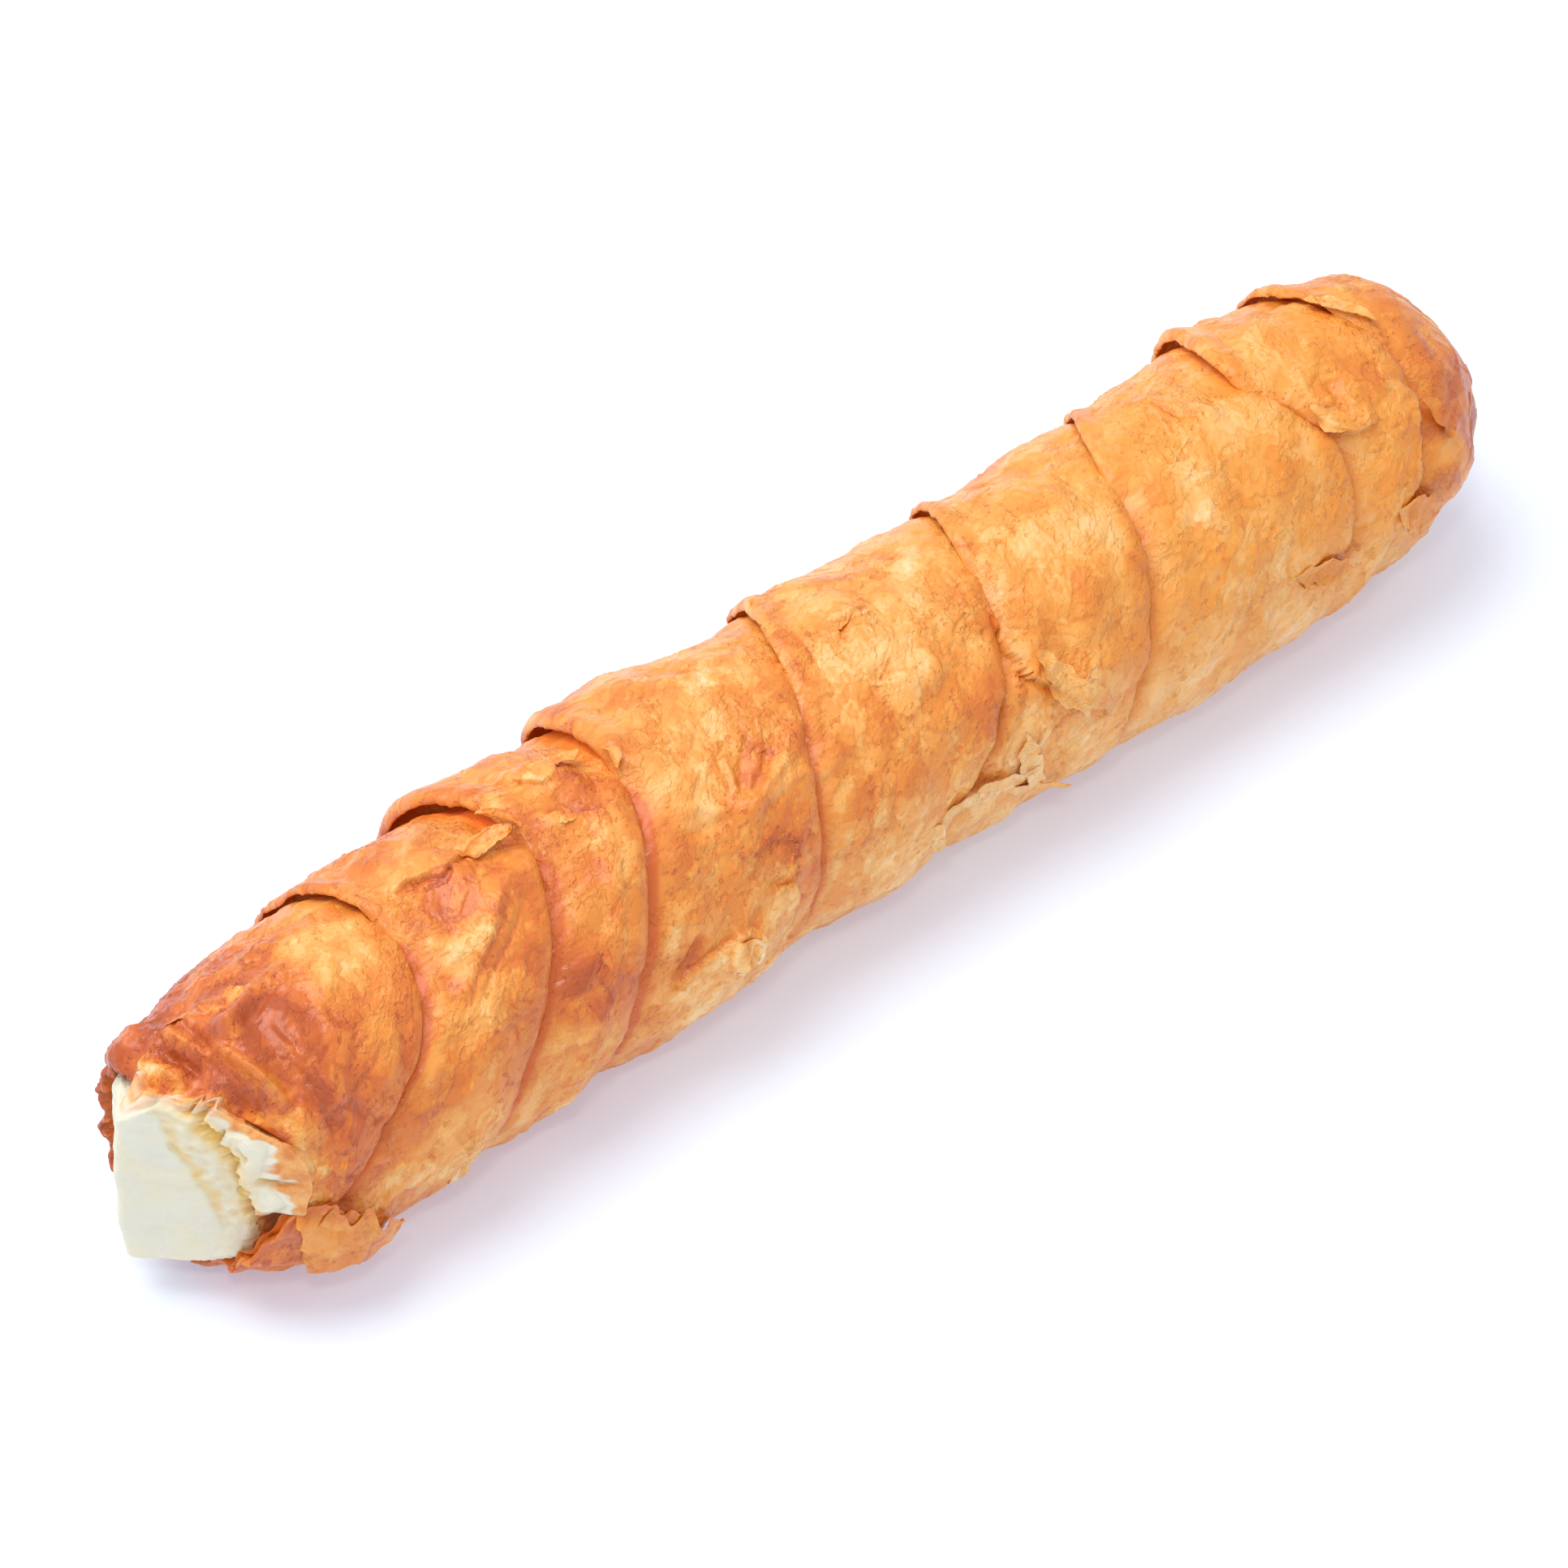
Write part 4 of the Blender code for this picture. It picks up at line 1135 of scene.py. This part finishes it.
def crust_finish():
    finish = Finish("baked_dough")
    shift = finish.add("ShaderNodeCombineXYZ", {}, {0: finish.painted("layer")})
    here = finish.add("ShaderNodeVectorMath", {"operation": "ADD"}, {0: finish.here(), 1: shift})
    toast, hollow, crest = finish.painted("toast"), finish.painted("hollow"), finish.painted("crest")
    mottle = finish.grain(here, 7.0, detail=7.0, roughness=0.6)
    islands = mottle.between(0.50, 0.53)
    shores = mottle.between(0.47, 0.505) - islands
    lakes = finish.grain(here, 11.0, detail=8.0, roughness=0.6).between(0.56, 0.585)
    fine = finish.grain(here, 0.55, detail=3.0, roughness=0.6)
    pits = finish.grain(here, 1.1, detail=2.0).between(0.58, 0.68)
    pits = pits * finish.grain(here, 8.0).between(0.47, 0.58)
    brown = toast + 0.08 * (islands - 0.5) + 0.06 * shores - 0.07 * lakes + 0.12 * pits
    brown = brown + 0.12 * (mottle - 0.5) + 0.16 * (fine - 0.5) + 0.06 * crest
    baked = finish.add("ShaderNodeValToRGB", {"stops": BAKED_COLOURS}, {0: brown})

    along = finish.add("ShaderNodeSeparateXYZ", {}, {0: finish.here()})
    golden = 0.34 * (along.between(*GOLDEN_BEGINS) - along.between(*GOLDEN_ENDS))
    specks = finish.grain(here, 0.5, detail=1.0).between(0.69, 0.76)
    specks = specks * finish.grain(here, 6.0).between(0.5, 0.62)
    # The golden far half and the specks are the dough's own colour; the hollow shares paint shade into
    # hollows and creases.
    for share, code in (
        (golden, GOLDEN),
        (specks * 0.5, SPECK),
        (hollow * 0.7, SHADE_IN_HOLLOWS),
        (hollow.between(0.55, 1.0) * 0.8, SHADE_IN_CREASES),
    ):
        baked = finish.blend(share, baked, tint(code))

    grain = finish.grain(here, 0.5, detail=4.0, roughness=0.65)
    crinkle = finish.ridges(here, 2.6) * finish.grain(here, 9.0).between(0.42, 0.60)
    skin = 0.55 * grain + crinkle + 0.5 * islands - 0.6 * lakes - 0.9 * pits
    rough = 0.26 + 0.30 * finish.grain(here, 2.4, detail=4.0)
    # Painted glow in deep creases and under lips.
    glow = finish.blend(hollow.between(0.5, 1.0), NO_GLOW, PAINTED_CREASE_GLOW)
    glow = finish.blend(finish.painted("under_lip"), glow, PAINTED_LIP_GLOW)
    finish.set(Base_Color=baked, Roughness=rough, Normal=finish.bump(skin, 0.13))
    finish.set(Subsurface_Weight=0.12, Subsurface_Radius=(1.0, 0.55, 0.3), Subsurface_Scale=0.0008)
    finish.set(Coat_Weight=0.12 + 0.25 * toast, Coat_Roughness=0.18, Specular_IOR_Level=0.42)
    finish.set(Emission_Color=glow, Emission_Strength=1.0)
    return finish.material


# The cheese in the mouth, by its outline (angle, radius) and the broken slab's right-hand
# edge as (height over the axis, distance to the front).
CHEESE_OUTLINE = (
    (0.0, 14.2),
    (6.0, 15.4),
    (12.0, 16.9),
    (20.0, 16.4),
    (24.0, 16.6),
    (32.0, 17.7),
    (40.0, 17.5),
    (47.0, 19.2),
    (56.0, 19.3),
    (62.0, 17.6),
    (68.0, 16.3),
    (75.0, 15.9),
    (80.0, 17.6),
    (85.0, 18.2),
    (92.0, 16.9),
    (99.0, 15.2),
    (106.0, 13.9),
    (114.0, 14.6),
    (122.0, 15.5),
    (130.0, 16.6),
    (137.0, 16.7),
    (145.0, 16.0),
    (157.0, 15.3),
    (180.0, 15.0),
    (230.0, 15.2),
    (300.0, 14.2),
)
SLAB_EDGE = (
    (-15.0, 12.0),
    (-10.8, 12.9),
    (-7.5, 13.2),
    (-5.5, 13.4),
    (-3.0, 12.6),
    (0.5, 11.9),
    (5.0, 11.2),
    (8.0, 11.0),
    (10.0, 9.9),
    (12.5, 8.2),
    (14.5, 7.6),
    (16.0, 5.6),
    (17.0, 4.4),
)

# The slab is broken to a crest, with a slope on each side, and the curds stand beside it.
SLAB_CREST_STATION = -122.6
SLAB_CREST_SIDE = -1.5
SLAB_FACE_SLOPE = 0.75
SLAB_BACK_SLOPE = 0.8
CURD_STATION = -119.6
CURD_SLOPE = 0.58

# Hollows between the curds: centre (front, up), half sizes, lean in degrees, depth.
CURD_HOLLOWS = (
    ((11.3, 5.2), (0.75, 3.0), 14.0, 2.4),
    ((12.6, -1.8), (0.7, 2.0), 20.0, 2.2),
    ((13.4, -3.4), (1.6, 0.9), -25.0, 2.4),
    ((7.3, 12.6), (0.5, 1.7), 22.0, 1.5),
    ((10.3, 11.6), (0.45, 1.9), -6.0, 1.4),
    ((15.6, 4.8), (1.5, 0.7), 30.0, 1.6),
    ((13.2, 9.6), (0.4, 1.3), 25.0, 0.9),
)
AXIS_SHIFT = (0.0, BOX_CENTRE[1], -AXIS_HEIGHT)

# Density of the cheese: steps round it, rings on its face, and rows on its rim's wall and in
# the film over the crust.
CHEESE_STEPS = 480
CHEESE_RINGS = 92
WALL_ROWS = 8
FILM_ROWS = 4
SMEARED_ROWS = WALL_ROWS + FILM_ROWS


def slab_front(side, up, past_edge):
    """Station of the broken slab, crumbly past its split, and how yellow it is."""
    zero = np.zeros(side.shape)
    crest_side = SLAB_CREST_SIDE + 1.3 * cloud(zero + 0.4, up / 6.0, zero, seed=89)
    crest_side = crest_side + 0.3 * cloud(zero + 0.4, up / 1.8, zero, seed=90)
    face = SLAB_CREST_STATION + SLAB_FACE_SLOPE * (side - crest_side)
    back = SLAB_CREST_STATION + SLAB_BACK_SLOPE * (crest_side - side)
    crest = 0.5 * (face + back) + np.sqrt((0.5 * (face - back)) ** 2 + 0.15)
    dents = 0.55 * cloud(side / 7.0, up / 9.0, zero, seed=93)
    dents += 0.22 * cloud(side / 2.6, up / 4.0, zero, seed=94)
    dents += 0.09 * cloud(side / 0.9, up / 0.9, zero, seed=95)
    split = side - 6.6 + 0.33 * (up - 4.0) + 0.6 * cloud(side / 3.0, up / 3.0, zero, seed=96)
    past_split = smooth_step(split, -0.15, 0.15) * smooth_step(up, -9.0, -3.0)
    crumbly = cloud(side / 1.4, up / 1.4, zero, seed=100)
    shelf = past_split * (0.45 + 0.35 * crumbly)
    rounding = 0.9 * np.clip(1 + past_edge / 1.3, 0, 1) ** 3
    streak = smooth_step(-np.abs(split - 0.4), -0.9, 0.0) * smooth_step(up, -6.0, 0.0)
    yellow = 0.35 * streak * smooth_step(side, 3.0, 6.0) + past_split * (0.22 + 0.3 * crumbly)
    at_rim = 0.5 * np.exp(-((past_edge / 0.7) ** 2)) * smooth_step(up, -12.0, -6.0)
    return crest + dents + shelf + rounding, yellow + at_rim


def curds_front(side, up, past_edge, ragged):
    """Station of the curds beside the slab, and how deep in a hollow or cleft they lie."""
    zero = np.zeros(side.shape)
    lumps = 0.75 * cloud(side / 3.8, up / 3.8, zero, seed=97)
    lumps += 0.30 * cloud(side / 1.5, up / 1.5, zero, seed=98)
    lumps += 0.12 * cloud(side / 0.6, up / 0.6, zero, seed=99)
    curds = CURD_STATION + CURD_SLOPE * side + lumps
    curds += 1.5 * np.exp(-(((past_edge - 0.7) / 0.8) ** 2)) * smooth_step(up, -7.0, -2.0)
    hole = zero
    for (x, z), (half_x, half_z), lean, depth in CURD_HOLLOWS:
        c, s = math.cos(math.radians(lean)), math.sin(math.radians(lean))
        dx, dz = side - x + 0.5 * ragged, up - z
        reach = np.hypot((dx * c + dz * s) / half_x, (dz * c - dx * s) / half_z)
        inside = 1 - smooth_step(reach, 0.55, 1.35)
        curds += depth * inside
        hole = np.maximum(hole, inside * min(depth / 2.2, 1.0))
    cleft = np.exp(-((past_edge / 2.3) ** 2)) * smooth_step(up, -9.0, -4.0)
    return curds, np.maximum(hole, cleft)


def cheese_front(side, up):
    """Station of the broken cheese by distance to the front and up, its yellow, and the slab."""
    heights, sides = np.array(SLAB_EDGE).T
    zero = np.zeros(side.shape)
    ragged = 0.75 * cloud(side / 1.7, up / 1.7, zero, seed=91)
    ragged = ragged + 0.35 * cloud(side / 0.6, up / 0.6, zero, seed=92)
    past_edge = side + ragged - smooth_line(heights, sides, up)
    slab, slab_yellow = slab_front(side, up, past_edge)
    curds, curd_yellow = curds_front(side, up, past_edge, ragged)
    in_slab = 1 - smooth_step(past_edge, -0.05, 0.12)
    yellow = np.maximum((1 - in_slab) * curd_yellow, in_slab * slab_yellow)
    return slab * in_slab + curds * (1 - in_slab), np.clip(yellow, 0, 1), in_slab


def crust_height(station, angles):
    """How high the first turn's dough stands over the plain outline, at a station for each angle."""
    course = (angles - COURSE_AT_MOUTH) % 360.0 + COURSE_AT_MOUTH - 360.0
    fine, _ = fine_relief(station[:, None], angles[:, None], course[:, None])
    return broad_relief(station, angles) + fine[:, 0]


def make_cheese():
    """The broken face in the mouth with the core behind it, all in one closed piece."""
    angles = np.linspace(0.0, 360.0, CHEESE_STEPS + 1)
    spin, reach = np.array(CHEESE_OUTLINE).T
    around = np.radians(angles)
    ring_x, ring_y = 16.0 * np.cos(around), 16.0 * np.sin(around)

    def round_it(size, height, seed):
        """A cloud round the cheese, with features of a size in millimetres."""
        return cloud(ring_x / size, ring_y / size, height, seed=seed)

    outline = smooth_line(spin, reach, angles, period=360.0) + 0.45 * round_it(2.4, 0.0, 101)
    corner = np.exp(-(((turned(angles) - 140.0) / 12.0) ** 2))
    outline = outline + (0.16 + 0.35 * corner) * round_it(0.7, 0.0, 102)
    shares = np.linspace(0, 1, CHEESE_RINGS)[:, None]
    radius = outline * (1 - (1 - shares) ** 1.25)
    front, yellow, in_slab = cheese_front(radius * np.sin(around), radius * np.cos(around))
    to_edge = outline - radius
    front = front + 0.7 * np.clip(1 - to_edge / 0.9, 0, 1) ** 2
    rows = [ring(front[i], radius[i], angles) for i in range(CHEESE_RINGS)]

    # The wall behind the face's edge runs out to the crust's rim, where the film lies.
    mouth, smear, last = mouth_station(angles), smear_share(angles), front[-1]
    edge = np.maximum(mouth + RIM_SETBACK * smear - 1.1, last + 1.2)
    rim = on_roll(edge, angles, crust_height(edge, angles)) / MM + AXIS_SHIFT
    rim_radius = np.maximum(np.hypot(*rim[:, 1:].T) + 0.6, outline)
    edge_radius = outline * (1 - smear) + rim_radius * smear
    for share in np.linspace(0, 1, WALL_ROWS + 1)[1:]:
        station = last + (edge - last) * share
        bulge = 0.5 * round_it(1.8, station / 1.8, 103)
        wall = outline + (edge_radius - outline) * share**0.6
        rows.append(ring(station, wall + bulge * math.sin(math.pi * share), angles))

    # The film over the crust thins out to nothing, and elsewhere the cheese goes inside.
    film_reach = smear * (1.1 + 1.8 * round_it(4.5, 0.0, 104))
    film_reach = film_reach + smear * 0.7 * round_it(1.5, 0.0, 105)
    film_reach = film_reach + smear * 0.4 * round_it(0.6, 0.0, 107)
    bore = meridian(mouth, angles)[1] - RIM_THICKNESS - CORE_GAP
    for share in np.linspace(0, 1, FILM_ROWS + 1)[1:]:
        station = edge + (0.3 + np.clip(film_reach, 0, None)) * share
        over = 0.55 - 0.3 * share - 1.1 * share**4 + 0.2 * round_it(1.6, station / 1.6, 106)
        over_crust = on_roll(station, angles, crust_height(station, angles) + over)
        inside = ring(station, np.minimum(outline, bore), angles)
        rows.append(over_crust * smear[:, None] + inside * (1 - smear[:, None]))

    rows.append(ring(mouth + 6.5, np.minimum(outline, bore) - 0.5, angles))
    rows.append(ring(CORE_START + 0 * angles, CORE_RADIUS + 0 * angles, angles))
    for arc in np.radians((0.0, 30.0, 60.0, 90.0)):
        station, end_radius = CORE_END + CORE_RADIUS * math.sin(arc), CORE_RADIUS * math.cos(arc)
        rows.append(ring(station + 0 * angles, end_radius + 0 * angles, angles))

    piece = grid_piece("cheese_core", len(rows), CHEESE_STEPS + 1)
    place_points(piece, np.stack(rows))

    # Where the film is soaked: patchy on top, in lobes beside the curds, and low at the front.
    patchy = np.stack([round_it(2.2, row / 3.0, 108) for row in range(SMEARED_ROWS)])
    patchy = np.linspace(0.6, 1.3, SMEARED_ROWS)[:, None] * (0.75 + 0.9 * patchy)
    lobes = np.linspace(0.0, 1.4, SMEARED_ROWS)[:, None] + 0.9 * round_it(3.2, 0.0, 109)
    lobes = smooth_step(lobes + 0.4 * round_it(1.1, 0.0, 110), 0.12, 0.28)
    beside_curds = smooth_step(turned(angles), 26.0, 38.0)
    film = np.clip(patchy, 0, 1) * (1 - beside_curds) + lobes * beside_curds
    low = smooth_step(turned(angles), 92.0, 104.0) * (1 - smooth_step(turned(angles), 150.0, 165.0))
    film = np.maximum(film * smear, low)
    on_face = low * (1 - in_slab) * smooth_step(-to_edge, -5.0, -0.5)
    behind = np.zeros((len(rows) - CHEESE_RINGS, CHEESE_STEPS + 1))
    paint(
        piece,
        yellow=np.concatenate([yellow, behind]),
        curd=np.concatenate([1 - in_slab, behind + (1 - in_slab[-1:])]),
        film=np.concatenate([on_face, film, behind[SMEARED_ROWS:]]),
    )
    close_up(piece, sharp=50.0)
    return piece


def cheese_finish():
    finish = Finish("white_cheese")
    here = finish.here()
    yellow, curd, film = finish.painted("yellow"), finish.painted("curd"), finish.painted("film")
    soft = finish.grain(here, 5.0, detail=3.0).between(0.35, 0.7)
    stains = finish.grain(here, 3.0, detail=6.0, roughness=0.65).between(0.35, 0.65)
    colour = finish.blend(soft, tint("E1DDCA"), tint("E4DDC0"))
    colour = finish.blend(curd * 0.6, colour, tint("E8E1CB"))
    colour = finish.blend(yellow * 0.95, colour, tint("EBBE55"))
    soaked = finish.blend(stains, tint("EDB063"), tint("DC8030"))
    colour = finish.blend(film * 0.95, colour, soaked)
    grain = finish.grain(here, 0.7, detail=5.0, roughness=0.6) + 0.5 * finish.grain(here, 2.2, detail=3.0)
    rough = 0.42 + 0.25 * finish.grain(here, 1.5, detail=3.0)
    finish.set(Base_Color=colour, Roughness=rough, Normal=finish.bump(grain, 0.16))
    finish.set(Subsurface_Weight=0.35, Subsurface_Radius=(1.0, 0.8, 0.5), Subsurface_Scale=0.0020)
    finish.set(Specular_IOR_Level=0.4)
    return finish.material


def floor_and_light():
    bpy.ops.object.select_all(action="DESELECT")
    bpy.ops.mesh.primitive_plane_add(size=6.0, location=(0, 0, 0))
    floor = bpy.context.object
    floor.name = "floor"
    finish = Finish("white_table")
    finish.set(Base_Color=(0.68, 0.76, 0.80, 1.0), Roughness=0.9, Specular_IOR_Level=0.1)
    finish.set(Emission_Color=(0.235, 0.24, 0.325, 1.0), Emission_Strength=1.0)
    floor.data.materials.append(finish.material)

    def softbox(name, place, size, watts, colour):
        light = bpy.data.lights.new(name, "AREA")
        light.shape = "DISK"
        light.size = size
        light.energy = watts
        light.color = colour
        lamp = bpy.data.objects.new(name, light)
        bpy.context.scene.collection.objects.link(lamp)
        aim = Vector((0, 0, 0.02)) - Vector(place)
        lamp.matrix_world = Matrix.Translation(place) @ aim.to_track_quat("-Z", "Y").to_matrix().to_4x4()

    softbox("key_softbox", (-0.27, 0.34, 1.22), 1.15, 12.6, (1.0, 0.985, 0.965))
    softbox("glint_lamp", (-0.50, -0.50, 0.95), 0.12, 1.4, (1.0, 0.98, 0.95))
    world = bpy.data.worlds.new("studio")
    bpy.context.scene.world = world
    world.use_nodes = True
    world.node_tree.nodes["Background"].inputs["Color"].default_value = (0.95, 0.95, 1.0, 1.0)
    world.node_tree.nodes["Background"].inputs["Strength"].default_value = 0.71
    bpy.context.scene.view_settings.view_transform = "Standard"
    bpy.context.scene.view_settings.look = "None"


# The camera looks at the middle of the roll from the open end's side, well above it.
VIEW_AZIMUTH = math.radians(-42.16)
VIEW_ELEVATION = math.radians(44.0)
VIEW_DISTANCE = 1.2
VIEW_LENS = 187.32
VIEW_RIGHT, VIEW_DOWN = 0.00152, 0.00070


def aim_camera():
    camera = bpy.data.objects.new("camera", bpy.data.cameras.new("camera"))
    bpy.context.scene.collection.objects.link(camera)
    camera.data.lens = VIEW_LENS
    camera.data.sensor_width = 36.0
    camera.data.clip_end = 20.0
    flat = math.cos(VIEW_ELEVATION)
    back = Vector(
        (math.sin(VIEW_AZIMUTH) * flat, -math.cos(VIEW_AZIMUTH) * flat, math.sin(VIEW_ELEVATION))
    )
    right = Vector((math.cos(VIEW_AZIMUTH), math.sin(VIEW_AZIMUTH), 0.0))
    up = back.cross(right)
    middle = Vector((-BOX_CENTRE[0] * MM, -BOX_CENTRE[1] * MM, AXIS_HEIGHT * MM))
    middle += right * VIEW_RIGHT - up * VIEW_DOWN
    turn = Matrix((right, up, back)).transposed().to_4x4()
    camera.matrix_world = Matrix.Translation(middle + back * VIEW_DISTANCE) @ turn
    bpy.context.scene.camera = camera


aim_camera()
floor_and_light()

crust = crust_finish()
bounds_of_turns = [COURSE_AT_TIP - 360.0]
while bounds_of_turns[-1] < COURSE_AT_MOUTH:
    bounds_of_turns.append(min(bounds_of_turns[-1] + 360.0, COURSE_AT_MOUTH))
for number, (first, last) in enumerate(zip(bounds_of_turns, bounds_of_turns[1:]), start=1):
    wrap = make_turn(number, first, last)
    wrap.data.materials.append(crust)
    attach(wrap, "root")
    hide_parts("pastry")

for number, flake_sizes in enumerate(FLAKES, start=1):
    flake = make_flake(number, *flake_sizes)
    flake.data.materials.append(crust)
    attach(flake, "root")
    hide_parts("pastry")

cheese = make_cheese()
cheese.data.materials.append(cheese_finish())
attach(cheese, "root")
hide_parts("cheese_filling")
